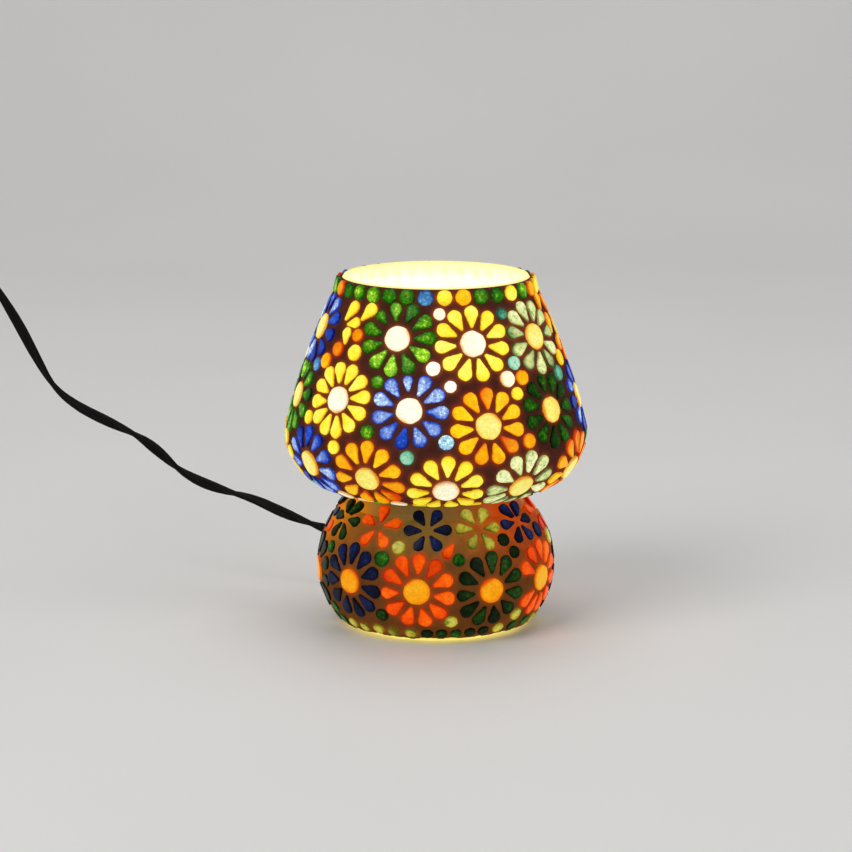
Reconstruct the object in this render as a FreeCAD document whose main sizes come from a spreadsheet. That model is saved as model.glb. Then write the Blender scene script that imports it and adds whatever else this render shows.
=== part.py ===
import FreeCAD, Part
import math
import os

import Sketcher
from FreeCAD import Placement, Rotation, Vector

# Mosaic glass table lamp: one blown glass body (dome over bowl) covered with coloured glass chips set in
# grout, a lamp holder sprung into its waist, a screw-in bulb and a twin flex that ends in a plug.
# Millimetres, +Z up, origin at the centre of the flat base, front towards -Y.

doc = FreeCAD.newDocument("MosaicLamp")

# ---------------------------------------------------------------- driving dimensions

DIMENSIONS = [
    # glass body, outside of the bare glass
    ("lamp_height", 176.0),
    ("lip_centre_radius", 78.3),
    ("lip_flare", 32.0),
    ("lip_rise", 3.0),
    ("dome_radius", 72.4),
    ("dome_arc", 350.0),
    ("shoulder_arc", 25.2),
    ("shoulder_height", 97.6),
    ("waist_radius", 42.3),
    ("waist_arc", 6.7),
    ("bowl_radius", 56.8),
    ("bowl_height", 30.6),
    ("bowl_upper_arc", 41.8),
    ("bowl_lower_arc", 38.0),
    ("kick_radius", 27.0),
    ("kick_height", 2.0),
    ("foot_fillet", 4.0),
    ("glass_wall", 3.0),
    ("lip_fillet", 1.3),
    ("cable_hole_radius", 4.5),
    ("cable_hole_height", 38.0),
    # mosaic
    ("bed_thickness", 0.8),
    ("chip_thickness", 1.8),
    ("disc_radius", 6.2),
    ("dot_radius", 3.9),
    ("petal_length", 10.7),
    ("petal_round", 3.3),
    ("petal_tip", 0.7),
    ("petal_orbit", 13.2),
    ("small_petal_orbit", 7.2),
    # holder plate and lamp holder
    ("plate_height", 66.0),
    ("plate_thickness", 1.2),
    ("plate_disc_radius", 21.0),
    ("plate_arm_length", 76.2),
    ("plate_arm_width", 14.0),
    ("plate_tab_depth", 9.0),
    ("skirt_radius", 14.0),
    ("skirt_wall", 1.6),
    ("skirt_bottom", 56.0),
    ("skirt_top", 94.0),
    ("shade_ring_radius", 18.5),
    ("shade_ring_depth", 4.5),
    ("holder_cap_height", 13.0),
    ("core_radius", 11.9),
    ("core_height", 9.0),
    ("sleeve_radius", 7.4),
    ("sleeve_wall", 0.4),
    ("sleeve_length", 22.0),
    ("terminal_radius", 2.0),
    ("terminal_length", 6.0),
    ("terminal_spread", 6.5),
    ("plate_hole_clearance", 0.3),
    ("ring_clearance", 0.02),
    ("cap_chamfer", 5.0),
    ("cap_inner_chamfer", 6.0),
    ("cap_mouth_clearance", 0.4),
    ("core_lift", 3.0),
    ("grip_squeeze", 0.3),
    ("grip_radius", 7.5),
    ("grip_height", 5.0),
    # bulb
    ("bulb_tip_height", 70.5),
    ("bulb_cap_radius", 6.7),
    ("bulb_cap_length", 17.0),
    ("bulb_cap_wall", 0.3),
    ("bulb_globe_radius", 22.5),
    ("bulb_globe_height", 125.0),
    ("bulb_neck_radius", 8.4),
    ("bulb_neck_height", 96.0),
    ("bulb_glass_wall", 0.8),
    ("bulb_tip_length", 1.0),
    ("insulator_overlap", 1.0),
    ("insulator_length", 2.5),
    ("bulb_cap_chamfer", 1.0),
    ("bulb_cap_chamfer_height", 1.2),
    ("bulb_neck_straight", 2.0),
    ("bulb_neck_gap", 0.4),
    ("bulb_flare_depth", 17.0),
    ("bulb_flare_radius", 14.7),
    ("stem_overlap", 1.0),
    ("stem_height", 17.0),
    ("stem_foot_radius", 6.8),
    ("stem_waist_radius", 2.6),
    ("stem_waist_height", 7.0),
    ("stem_shoulder", 1.0),
    ("lead_foot_height", 15.0),
    ("lead_gap", 0.1),
    ("filament_lift", 2.0),
    ("lead_radius", 0.35),
    ("lead_spread", 9.0),
    ("filament_radius", 0.45),
    ("filament_rise", 4.0),
    # flex and plug
    ("flex_width", 5.4),
    ("grommet_flange_radius", 7.0),
    ("grommet_flange", 2.2),
    ("grommet_seat", 0.7),
    ("core_wire_radius", 0.9),
    ("boot_length", 22.0),
    ("boot_radius", 5.2),
    ("plug_width", 28.0),
    ("plug_height", 33.0),
    ("plug_depth", 15.0),
    ("pin_radius", 2.0),
    ("pin_length", 19.0),
    ("pin_spacing", 18.6),
]

sheet = doc.addObject("Spreadsheet::Sheet", "Sizes")
for row, (alias, number) in enumerate(DIMENSIONS, start=1):
    sheet.set(f"A{row}", alias)
    sheet.set(f"B{row}", str(number))
    sheet.setAlias(f"B{row}", alias)
doc.recompute()


class Size:
    """A length that carries its number and the sheet formula that gives it."""

    def __init__(self, value, formula):
        self.value = float(value)
        self.formula = formula

    def joined(self, other, sign, value):
        other_formula = other.formula if isinstance(other, Size) else f"{float(other):g}"
        return Size(value, f"({self.formula} {sign} {other_formula})")

    def __add__(self, other):
        return self.joined(other, "+", self.value + float(other))

    def __sub__(self, other):
        return self.joined(other, "-", self.value - float(other))

    def __mul__(self, other):
        return self.joined(other, "*", self.value * float(other))

    def __neg__(self):
        return Size(-self.value, f"(-{self.formula})")

    def __float__(self):
        return self.value


class Sheet:
    """Sizes by name: S.glass_wall is the cell with that alias."""

    def __getattr__(self, alias):
        return Size(float(sheet.get(alias)), f"Sizes.{alias}")


S = Sheet()
ZERO = S.glass_wall * 0


def bind(item, **lengths):
    """Set properties of a document object from the sheet."""
    for name, length in lengths.items():
        setattr(item, name, float(length))
        item.setExpression(name, length.formula)


# ---------------------------------------------------------------- builders

PARTS = []  # document objects that are written out, in order


def keep(item, label):
    item.Label = label
    PARTS.append(item)
    return item


def origin_plane(body, role):
    return next(feature for feature in body.Origin.OriginFeatures if feature.Role == role)


def new_sketch(body, name, role="XZ_Plane"):
    sketch = body.newObject("Sketcher::SketchObject", name)
    sketch.AttachmentSupport = [(origin_plane(body, role), "")]
    sketch.MapMode = "FlatFace"
    return sketch


def fix_coordinate(sketch, kind, curve, point, length):
    """Tie one coordinate of a sketch point to the sheet, or to the axis where it is zero."""
    if abs(float(length)) < 1e-9:
        axis = -2 if kind == "DistanceX" else -1
        sketch.addConstraint(Sketcher.Constraint("PointOnObject", curve, point, axis))
        return
    index = sketch.addConstraint(Sketcher.Constraint(kind, -1, 1, curve, point, float(length)))
    sketch.setExpression(f"Constraints[{index}]", length.formula)


def outline_sketch(body, name, corners, role="XZ_Plane"):
    """A closed outline of straight sides through the corners, each bound to the sheet."""
    sketch = new_sketch(body, name, role)
    ends = corners[1:] + corners[:1]
    for (x0, y0), (x1, y1) in zip(corners, ends):
        sketch.addGeometry(
            Part.LineSegment(Vector(float(x0), float(y0), 0), Vector(float(x1), float(y1), 0))
        )
    count = len(corners)
    for index in range(count):
        sketch.addConstraint(Sketcher.Constraint("Coincident", index, 2, (index + 1) % count, 1))
    for index, (x, y) in enumerate(corners):
        fix_coordinate(sketch, "DistanceX", index, 1, x)
        fix_coordinate(sketch, "DistanceY", index, 1, y)
    return sketch


def turned(label, corners):
    """A body of revolution about Z from (radius, height) corners."""
    body = doc.addObject("PartDesign::Body", label)
    sketch = outline_sketch(body, label + "_outline", corners)
    revolution = body.newObject("PartDesign::Revolution", label + "_turn")
    revolution.Profile = sketch
    revolution.ReferenceAxis = (sketch, ["V_Axis"])
    revolution.Angle = 360.0
    body.Tip = revolution
    return body


def bored(label, inner, outer, bottom, top):
    """A plain ring or tube."""
    return turned(label, [(inner, bottom), (outer, bottom), (outer, top), (inner, top)])


def cylinder(name, radius, height, base=Vector(), axis=Vector(0, 0, 1)):
    item = doc.addObject("Part::Cylinder", name)
    bind(item, Radius=radius, Height=height)
    item.Placement = Placement(base, Rotation(Vector(0, 0, 1), axis))
    return item


def box(name, length, width, height):
    """A box centred on X and Y that stands on its own zero height."""
    item = doc.addObject("Part::Box", name)
    bind(item, Length=length, Width=width, Height=height)
    item.setExpression("Placement.Base.x", (length * -0.5).formula)
    item.setExpression("Placement.Base.y", (width * -0.5).formula)
    return item


def joined(name, *items):
    item = doc.addObject("Part::MultiFuse", name)
    item.Shapes = list(items)
    item.Refine = True
    return item


def cut(name, base, tool):
    item = doc.addObject("Part::Cut", name)
    item.Base = base
    item.Tool = tool
    return item


def feature(label, shape, placement=None):
    item = doc.addObject("Part::Feature", label)
    item.Shape = shape
    if placement:
        item.Placement = placement
    return keep(item, label)


def group(label, items):
    """Separate pieces that share one node."""
    item = doc.addObject("Part::Compound", label)
    item.Links = list(items)
    return keep(item, label)


# ---------------------------------------------------------------- glass body


def meet(first, first_reach, second, second_reach, side):
    """Where two circles cross, on the given side of the line between their centres."""
    gap = second - first
    along = (first_reach**2 - second_reach**2 + gap.Length**2) / (2 * gap.Length)
    away = math.sqrt(first_reach**2 - along**2)
    unit = Vector(gap).normalize()
    return first + unit * along + Vector(-unit.y, unit.x, 0) * (side * away)


def arc(centre, radius, start, end):
    """The counter-clockwise arc about centre between the directions of two points."""
    angles = [math.atan2(point.y - centre.y, point.x - centre.x) for point in (start, end)]
    if angles[1] < angles[0]:
        angles[1] += 2 * math.pi
    return Part.ArcOfCircle(Part.Circle(centre, Vector(0, 0, 1), radius), *angles)


def glass_outline(sketch, inset):
    """The glass from the middle of the base up to the rim as tangent arcs, inset from its outside."""
    depth = float(inset)
    lower_radius = S.bowl_lower_arc - inset
    upper_radius = S.bowl_upper_arc - inset
    waist_radius = S.waist_arc + inset
    shoulder_radius = S.shoulder_arc - inset
    dome_radius = S.dome_arc - inset
    lip_radius = S.lip_flare + inset
    low = Vector(S.bowl_radius.value - S.bowl_lower_arc.value, S.bowl_height.value, 0)
    upper = Vector(S.bowl_radius.value - S.bowl_upper_arc.value, S.bowl_height.value, 0)
    waist_x = S.waist_radius.value + S.waist_arc.value
    reach = S.bowl_upper_arc.value + S.waist_arc.value
    waist = Vector(waist_x, upper.y + math.sqrt(reach**2 - (waist_x - upper.x) ** 2), 0)
    shoulder = Vector(S.dome_radius.value - S.shoulder_arc.value, S.shoulder_height.value, 0)
    lip = Vector(S.lip_centre_radius.value, S.lamp_height.value + S.lip_rise.value, 0)
    rim_x = lip.x - math.sqrt(lip_radius.value**2 - S.lip_rise.value**2)
    rim = Vector(rim_x, S.lamp_height.value, 0)
    dome = meet(
        shoulder,
        S.dome_arc.value - S.shoulder_arc.value,
        lip,
        S.dome_arc.value + S.lip_flare.value,
        1,
    )
    # the straight underside touches the waist arc from above and the shoulder arc from below
    rise = shoulder - waist
    turn = math.acos((S.shoulder_arc.value + S.waist_arc.value) / rise.Length)
    normal_angle = math.atan2(rise.y, rise.x) + turn
    normal = Vector(math.cos(normal_angle), math.sin(normal_angle), 0)
    foot = Vector(low.x + math.sqrt(lower_radius.value**2 - (low.y - depth) ** 2), depth, 0)
    belly = Vector(S.bowl_radius.value - depth, S.bowl_height.value, 0)
    neck_low = upper + (waist - upper).normalize() * upper_radius.value
    neck_high = waist + normal * waist_radius.value
    under = shoulder - normal * shoulder_radius.value
    crown = shoulder + (shoulder - dome).normalize() * shoulder_radius.value
    throat = lip + (dome - lip).normalize() * lip_radius.value
    centre_low = Vector(0, S.kick_height.value + depth, 0)
    kick = Vector(S.kick_radius.value, depth, 0)
    centre_top = Vector(0, S.lamp_height.value, 0)

    curves = [
        Part.LineSegment(centre_low, centre_top),
        Part.LineSegment(centre_low, kick),
        Part.LineSegment(kick, foot),
        arc(low, lower_radius.value, foot, belly),
        arc(upper, upper_radius.value, belly, neck_low),
        arc(waist, waist_radius.value, neck_high, neck_low),
        Part.LineSegment(neck_high, under),
        arc(shoulder, shoulder_radius.value, under, crown),
        arc(dome, dome_radius.value, crown, throat),
        arc(lip, lip_radius.value, rim, throat),
        Part.LineSegment(rim, centre_top),
    ]
    sketch.addGeometry(curves)
    start, end, centre = 1, 2, 3
    axis, kick_line, base_line, low_arc, upper_arc, waist_arc, under_line = range(7)
    shoulder_arc, dome_arc, lip_arc, top_line = range(7, 11)
    rules = [
        ("Coincident", axis, start, kick_line, start),
        ("Coincident", kick_line, end, base_line, start),
        ("Coincident", base_line, end, low_arc, start),
        ("Tangent", low_arc, end, upper_arc, start),
        ("Tangent", upper_arc, end, waist_arc, end),
        ("Tangent", waist_arc, start, under_line, start),
        ("Tangent", under_line, end, shoulder_arc, start),
        ("Tangent", shoulder_arc, end, dome_arc, start),
        ("Tangent", dome_arc, end, lip_arc, end),
        ("Coincident", lip_arc, start, top_line, start),
        ("Coincident", top_line, end, axis, end),
        ("PointOnObject", axis, start, -2),
        ("PointOnObject", axis, end, -2),
        ("Horizontal", base_line),
        ("Horizontal", top_line),
    ]
    for rule in rules:
        sketch.addConstraint(Sketcher.Constraint(*rule))
    places = [
        ("DistanceY", axis, start, S.kick_height + inset),
        ("DistanceX", kick_line, end, S.kick_radius),
        ("DistanceY", base_line, end, inset),
        ("DistanceY", axis, end, S.lamp_height),
        ("DistanceX", lip_arc, centre, S.lip_centre_radius),
        ("DistanceY", lip_arc, centre, S.lamp_height + S.lip_rise),
        ("DistanceX", shoulder_arc, centre, S.dome_radius - S.shoulder_arc),
        ("DistanceY", shoulder_arc, centre, S.shoulder_height),
        ("DistanceX", waist_arc, centre, S.waist_radius + S.waist_arc),
        ("DistanceX", low_arc, end, S.bowl_radius - inset),
        ("DistanceY", low_arc, centre, S.bowl_height),
        ("DistanceY", upper_arc, centre, S.bowl_height),
    ]
    for kind, curve, point, length in places:
        fix_coordinate(sketch, kind, curve, point, length)
    radii = [
        (low_arc, lower_radius),
        (upper_arc, upper_radius),
        (waist_arc, waist_radius),
        (shoulder_arc, shoulder_radius),
        (dome_arc, dome_radius),
        (lip_arc, lip_radius),
    ]
    for curve, radius in radii:
        index = sketch.addConstraint(Sketcher.Constraint("Radius", curve, float(radius)))
        sketch.setExpression(f"Constraints[{index}]", radius.formula)


def edges_at(shape, height, radius, slack=0.05):
    """Names of the circular edges at a height with a radius."""
    names = []
    for number, edge in enumerate(shape.Edges, start=1):
        box_ = edge.BoundBox
        level = abs(box_.ZMin - height) < slack and abs(box_.ZMax - height) < slack
        if level and abs(box_.XMax - radius) < slack:
            names.append(f"Edge{number}")
    return names


def make_glass():
    """The blown glass: a turned solid, hollowed by a second turned outline, with a rounded lip."""
    body = doc.addObject("PartDesign::Body", "GlassBlank")
    outside = new_sketch(body, "GlassOutside")
    glass_outline(outside, ZERO)
    solid = body.newObject("PartDesign::Revolution", "GlassSolid")
    solid.Profile = outside
    solid.ReferenceAxis = (outside, ["V_Axis"])
    solid.Angle = 360.0
    doc.recompute()
    foot = body.newObject("PartDesign::Fillet", "FootFillet")
    foot.Base = (solid, edges_at(solid.Shape, 0, outside.Geometry[3].StartPoint.x))
    bind(foot, Radius=S.foot_fillet)
    inside = new_sketch(body, "GlassInside")
    glass_outline(inside, S.glass_wall)
    hollow = body.newObject("PartDesign::Groove", "GlassHollow")
    hollow.Profile = inside
    hollow.ReferenceAxis = (inside, ["V_Axis"])
    hollow.Angle = 360.0
    doc.recompute()
    if hollow.Shape.Volume > foot.Shape.Volume * 0.5:
        raise RuntimeError("the glass was not hollowed")
    top = S.lamp_height.value
    lip_edges = [
        f"Edge{number}"
        for number, edge in enumerate(hollow.Shape.Edges, start=1)
        if edge.BoundBox.ZMin > top - 0.01
    ]
    lip = body.newObject("PartDesign::Fillet", "LipFillet")
    lip.Base = (hollow, lip_edges)
    bind(lip, Radius=S.lip_fillet)
    body.Tip = lip
    doc.recompute()
    return body, outside


# ---------------------------------------------------------------- surface measures


class Meridian:
    """A stretch of the glass outline, measured from its upper end downwards along the surface."""

    def __init__(self, curves):
        self.stretches = []
        reach = 0.0
        for curve in curves:
            edge = curve.toShape()
            down = edge.valueAt(edge.FirstParameter).y > edge.valueAt(edge.LastParameter).y
            self.stretches.append((reach, edge, down))
            reach += edge.Length
        self.length = reach

    def at(self, station, lift=0.0):
        """Radius, height and outward direction (radial, upward) at a station."""
        start, edge, down = next(
            stretch for stretch in reversed(self.stretches) if stretch[0] <= max(station, 0.0)
        )
        along = min(max(station - start, 0.0), edge.Length)
        parameter = edge.getParameterByLength(along if down else edge.Length - along)
        point = edge.valueAt(parameter)
        tangent = edge.tangentAt(parameter) * (1 if down else -1)
        out = Vector(-tangent.y, tangent.x, 0)
        point = point + out * lift
        return point.x, point.y, out

    def station(self, height):
        """The station at which the glass has this height."""
        low, high = 0.0, self.length
        while high - low > 0.01:
            middle = (low + high) / 2
            if self.at(middle)[1] > height:
                low = middle
            else:
                high = middle
        return low

    def curve(self, first, last, lift):
        """Edges of the outline between two stations, lifted off the glass."""
        cuts = [start for start, _, _ in self.stretches if first + 0.5 < start < last - 0.5]
        stations = [first] + cuts + [last]
        edges = []
        for near, far in zip(stations, stations[1:]):
            spots = [near + 1e-4, (near + far) / 2, far - 1e-4]
            points = [Vector(*self.at(spot, lift)[:2], 0) for spot in spots]
            if edges:
                points[0] = edges[-1].valueAt(edges[-1].LastParameter)
            bow = points[1].distanceToLine(points[0], points[2] - points[0])
            curve = Part.LineSegment(points[0], points[2]) if bow < 1e-3 else Part.Arc(*points)
            edges.append(curve.toShape())
        return edges


def on_glass(meridian, azimuth, station, lift=0.0):
    """Placement on the glass: Z outwards, Y up the surface, azimuth in degrees round from the front."""
    radius, height, out = meridian.at(station, lift)
    angle = math.radians(azimuth)
    across = Vector(math.cos(angle), math.sin(angle), 0)
    outward = Vector(out.x * math.sin(angle), -out.x * math.cos(angle), out.y)
    upward = outward.cross(across)
    base = Vector(radius * math.sin(angle), -radius * math.cos(angle), height)
    return Placement(base, Rotation(across, upward, outward, "ZXY"))


def shell(meridian, first, last, thickness):
    """A skin of even thickness on the glass between two stations."""
    inner = meridian.curve(first, last, 0.0)
    outer = meridian.curve(first, last, thickness)
    ends = [
        Part.LineSegment(inner[0].Vertexes[0].Point, outer[0].Vertexes[0].Point).toShape(),
        Part.LineSegment(inner[-1].Vertexes[-1].Point, outer[-1].Vertexes[-1].Point).toShape(),
    ]
    face = Part.Face(Part.Wire(Part.sortEdges(inner + outer + ends)[0]))
    upright = face.copy()
    upright.Placement = Placement(Vector(), Rotation(Vector(1, 0, 0), 90))
    return upright.revolve(Vector(), Vector(0, 0, 1), 360)


# ---------------------------------------------------------------- mosaic


def unevenness(count):
    """A repeatable hand-cut error between -1 and 1 for chip number count."""
    return 2 * math.modf(abs(math.sin(count * 12.9898) * 43758.5453))[0] - 1


def disc_shape(radius):
    return Part.makeCylinder(radius, S.chip_thickness.value)


def petal_shape(length, wide, tip):
    """A flat teardrop: a wide round end, a narrow round end, straight flanks."""
    top = length / 2 - wide
    bottom = tip - length / 2
    lean = math.asin((wide - tip) / (top - bottom))
    flank = Vector(math.cos(lean), -math.sin(lean), 0)
    mirror = Vector(-flank.x, flank.y, 0)
    high, low = Vector(0, top, 0), Vector(0, bottom, 0)
    edges = [
        Part.Arc(high + flank * wide, Vector(0, top + wide, 0), high + mirror * wide),
        Part.LineSegment(high + mirror * wide, low + mirror * tip),
        Part.Arc(low + mirror * tip, Vector(0, bottom - tip, 0), low + flank * tip),
        Part.LineSegment(low + flank * tip, high + flank * wide),
    ]
    wire = Part.Wire([edge.toShape() for edge in edges])
    return Part.Face(wire).extrude(Vector(0, 0, S.chip_thickness.value))


class Mosaic:
    """Chips laid on one part of the glass; a chip that has no room is left out."""

    GROUT_GAP = 0.75
    PETAL_GAP = 0.5
    FILL_GAP = 0.9
    FILL_STEP = 2.0
    BED_CLEARANCE = 0.02
    CUT_ERROR = 0.03  # share of a chip's size
    TURN_ERROR = 2.5  # degrees
    TRIMS = (1.0, 0.93, 0.86, 0.79, 0.72)  # sizes tried for a chip that has its own place

    def __init__(self, name, meridian):
        self.name = name
        self.meridian = meridian
        self.taken = []
        self.piles = {}
        self.count = 0

    def rise(self, station, reach):
        """How far a flat chip stands off a hollow stretch of the bed, touching it at its ends."""
        bed = S.bed_thickness.value
        radius, height, out = self.meridian.at(station, bed)
        lifts = [0.0]
        for end in (station - reach, station + reach):
            end_radius, end_height, _ = self.meridian.at(end, bed)
            lifts.append((end_radius - radius) * out.x + (end_height - height) * out.y)
        return max(lifts)

    def spot(self, azimuth, station, turn, reach=0.0):
        """Placement on the grout bed, turned clockwise by turn."""
        lift = S.bed_thickness.value + self.BED_CLEARANCE + self.rise(station, reach)
        flat = on_glass(self.meridian, azimuth, station, lift)
        return flat.multiply(Placement(Vector(), Rotation(Vector(0, 0, 1), -turn)))

    def lay(self, kind, colour, azimuth, station, shape, circles, turn=0.0, gap=None):
        """Lay one chip unless one of its circles comes too near a laid one."""
        gap = self.GROUT_GAP if gap is None else gap
        upright = abs(math.cos(math.radians(turn)))
        reach = max(abs(up) * upright + radius for up, radius in circles)
        place = self.spot(azimuth, station, turn, reach)
        spots = [(place.multVec(Vector(0, up, 0)), radius) for up, radius in circles]
        for point, radius in spots:
            for other, other_radius in self.taken:
                if (point - other).Length < radius + other_radius + gap:
                    return False
        self.taken += spots
        chip = shape.copy()
        chip.Placement = place
        self.piles.setdefault((kind, colour), []).append(chip)
        self.count += 1
        return True

    def reserve(self, azimuth, station, radius):
        self.taken.append((self.spot(azimuth, station, 0).Base, radius))

    def disc(self, kind, colour, azimuth, station, radius, gap=None):
        radius *= 1 + self.CUT_ERROR * unevenness(self.count)
        return self.lay(kind, colour, azimuth, station, disc_shape(radius), [(0, radius)], 0, gap)

    def petal(self, colour, azimuth, station, turn, stretch=1.0):
        wobble = unevenness(self.count + 0.5)
        length = S.petal_length.value * stretch * (1 + self.CUT_ERROR * wobble)
        wide, tip = S.petal_round.value * stretch, S.petal_tip.value
        shape = petal_shape(length, wide, tip)
        top, bottom = length / 2 - wide, tip - length / 2
        circles = [(top, wide), ((top + bottom) / 2, (wide + tip) / 2), (bottom, tip)]
        turn += self.TURN_ERROR * wobble
        return self.lay("petals", colour, azimuth, station, shape, circles, turn, self.PETAL_GAP)

    def ring(self, colour, azimuth, station, count, orbit, phase, stretch=1.0):
        """Petals round a centre."""
        for index in range(count):
            turn = phase + index * 360.0 / count
            up = orbit * math.cos(math.radians(turn))
            across = orbit * math.sin(math.radians(turn))
            radius = self.meridian.at(station - up, S.bed_thickness.value)[0]
            beside = azimuth + math.degrees(across / radius)
            any(self.petal(colour, beside, station - up, turn, stretch * size) for size in self.TRIMS)

    def dot(self, colour, azimuth, height):
        station = self.meridian.station(height)
        radius = S.dot_radius.value
        any(self.disc("dots", colour, azimuth, station, radius * size) for size in self.TRIMS)

    def fill(self, first, last, colours, shrink=(1.0, 0.82)):
        """Dots wherever there is still room between two stations."""
        for scale in shrink:
            station = first
            while station <= last:
                around = 2 * math.pi * self.meridian.at(station)[0]
                steps = int(around / self.FILL_STEP)
                for step in range(steps):
                    colour = colours[(step * 7 + self.count * 3) % len(colours)]
                    radius = S.dot_radius.value * scale
                    azimuth = 360.0 * step / steps
                    self.disc("dots", colour, azimuth, station, radius, self.FILL_GAP)
                station += self.FILL_STEP

    def write(self):
        for (kind, colour), chips in sorted(self.piles.items()):
            feature(f"{self.name}_{kind}_{colour}", Part.Compound(chips))


# Flowers of the dome: petals, centre, how many petals, turn, degrees round from the front, height.
DOME_FLOWERS = [
    ("green", "cream", 11, -11, -19, 152),
    ("yellow", "cream", 11, 4, 17.5, 149.7),
    ("mint", "yellow", 11, -10, 55, 149.7),
    ("blue", "yellow", 11, 0, -76.5, 151.5),
    ("orange", "yellow", 11, 8, 92, 150),
    ("green", "cream", 11, -6, 129, 149),
    ("blue", "yellow", 11, 12, 166, 150),
    ("yellow", "cream", 11, 2, 203, 150),
    ("mint", "yellow", 11, -9, 240, 149),
    ("yellow", "cream", 12, -11, -43.8, 121.6),
    ("blue", "cream", 11, -6, -10.8, 119.6),
    ("orange", "yellow", 11, 2, 20.5, 112),
    ("green", "yellow", 11, 15, -77, 118),
    ("dark_green", "yellow", 11, -8, 52.4, 115.6),
    ("blue", "yellow", 11, 5, 85, 116),
    ("yellow", "cream", 12, 0, 117, 114),
    ("orange", "yellow", 11, -4, 149, 117),
    ("dark_green", "yellow", 11, 10, 182, 115),
    ("mint", "yellow", 11, 6, 215, 117),
    ("orange", "cream", 11, -7, 249, 116),
    ("blue", "yellow", 11, 3, -57.3, 89.4),
    ("orange", "yellow", 11, 5, -27.5, 87),
    ("yellow", "cream", 11, 3, 3.8, 82.4),
    ("mint", "yellow", 11, 6, 36.6, 82),
    ("orange", "yellow", 11, -3, 68, 85),
    ("yellow", "cream", 11, 9, -88, 87),
    ("green", "yellow", 11, 0, 98, 84),
    ("blue", "cream", 11, 7, 128, 84),
    ("yellow", "cream", 11, -5, 158, 85),
    ("orange", "yellow", 11, 4, 188, 83),
    ("mint", "yellow", 11, 11, 217, 85),
    ("blue", "cream", 11, -2, 245, 84),
]

# Single petals of the dome: colour, degrees round, height, turn.
DOME_PETALS = [
    ("yellow", -50.5, 162, 25),
    ("yellow", -38.2, 162.5, 38),
    ("yellow", -46.4, 156.8, 75),
    ("yellow", -48.7, 150.6, 350),
    ("orange", 73, 164, 20),
    ("orange", 76, 153, 15),
]

# Dots of the dome: colour, degrees round, height.
DOME_DOTS = [
    ("cream", 1.6, 163.4),
    ("mint", 36.6, 162.2),
    ("cream", -1.4, 138.9),
    ("cream", 5.9, 130.7),
    ("mint", 36.9, 139.5),
    ("cream", 31.8, 132.7),
    ("orange", 39.5, 132.5),
    ("mint", 65.6, 130.7),
    ("green", -25.7, 131.9),
    ("green", -27.2, 108.9),
    ("mint", -10.8, 98.4),
    ("blue", 3.7, 105.3),
    ("orange", 37.3, 103.4),
    ("yellow", -41.7, 99.9),
    ("yellow", -59.6, 110.7),
    ("orange", -51.9, 144.2),
    ("orange", -58.1, 137.8),
    ("yellow", -40.5, 143.8),
]

# Colours of the dots under the rim, clockwise seen from above, starting at the left.
RIM_DOTS = (
    "orange green green green green green blue yellow orange green green yellow green orange "
    "yellow yellow orange green green blue yellow orange green green mint yellow orange green "
    "green yellow blue orange green green"
).split()

# Large flowers of the bowl: petals, degrees round, height (the centres are all amber).
BOWL_FLOWERS = [
    ("navy", -46, 30.2),
    ("red_orange", -9.2, 29),
    ("dark_green", 27.4, 28.3),
    ("red_orange", 62, 28.9),
    ("dark_green", -82, 29),
    ("navy", 99, 29),
    ("red_orange", 136, 29),
    ("dark_green", 173, 29),
    ("navy", 209, 28),
]

# Small flowers of the bowl: petals, degrees round, how many petals, turn.
BOWL_STARS = [
    ("dark_green", -63, 6, 30),
    ("red_orange", -34.2, 5, 0),
    ("navy", -4.8, 6, 28),
    ("mint", 24.2, 6, 33),
    ("navy", 53.4, 6, 30),
    ("red_orange", 84, 5, 3),
    ("mint", 114, 6, 30),
    ("navy", 144, 6, 26),
    ("dark_green", 174, 6, 30),
    ("red_orange", 204, 5, -3),
    ("navy", -93, 6, 30),
]

# Dots of the bowl: colour, degrees round, height.
BOWL_DOTS = [
    ("green", -27.8, 43),
    ("mint", -19.5, 48.5),
    ("green", 11.2, 43.6),
    ("dark_green", 42.6, 44.3),
    ("dark_green", -28.2, 16.1),
    ("mint", 7.6, 13.9),
]

# Single slim petals of the bowl: colour, degrees round, height, turn, size.
BOWL_SLIVERS = [
    ("red_orange", 6.4, 47.6, 212, 0.75),
]

# Dots just above the foot: colour, degrees round, height. The row repeats round the bowl.
FOOT_DOTS = [
    ("green", -62, 8.2),
    ("mint", -53, 7.8),
    ("mint", -43.5, 7.4),
    ("mint", -33.5, 7.8),
    ("mint", -24.5, 7.4),
    ("mint", -14, 7.3),
    ("dark_green", -5, 7.2),
    ("dark_green", 3, 7.4),
    ("dark_green", 11, 7.2),
    ("dark_green", 19, 7.4),
    ("dark_green", 27, 7.6),
    ("mint", 36.5, 7.9),
    ("green", 47, 7.6),
]

FILL_COLOURS = {
    "dome": ["yellow", "mint", "orange", "green", "cream", "blue", "yellow"],
    "bowl": ["green", "mint", "dark_green", "red_orange", "navy"],
}

BOWL_PETALS, BOWL_TURN = 11, 3.0
STAR_HEIGHT = 56.2
STAR_SCALE = 0.83
HOLE_AZIMUTH = -120.0
RIM_ROW = 4.9  # how far the rim dots' centres are below the rim, along the glass
RIM_START = -69.5
RIM_SCALE = 0.96
DOME_FILL_TOP, DOME_FILL_MARGIN = 12.0, 4.5
FOOT_ROW_HEIGHT, FOOT_ROW_REPEATS, FOOT_ROW_SCALE = 7.6, 3, 0.74
FOOT_ROW_MARGIN = 3.0
BOWL_FILL_HEIGHT = 57.0


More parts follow.
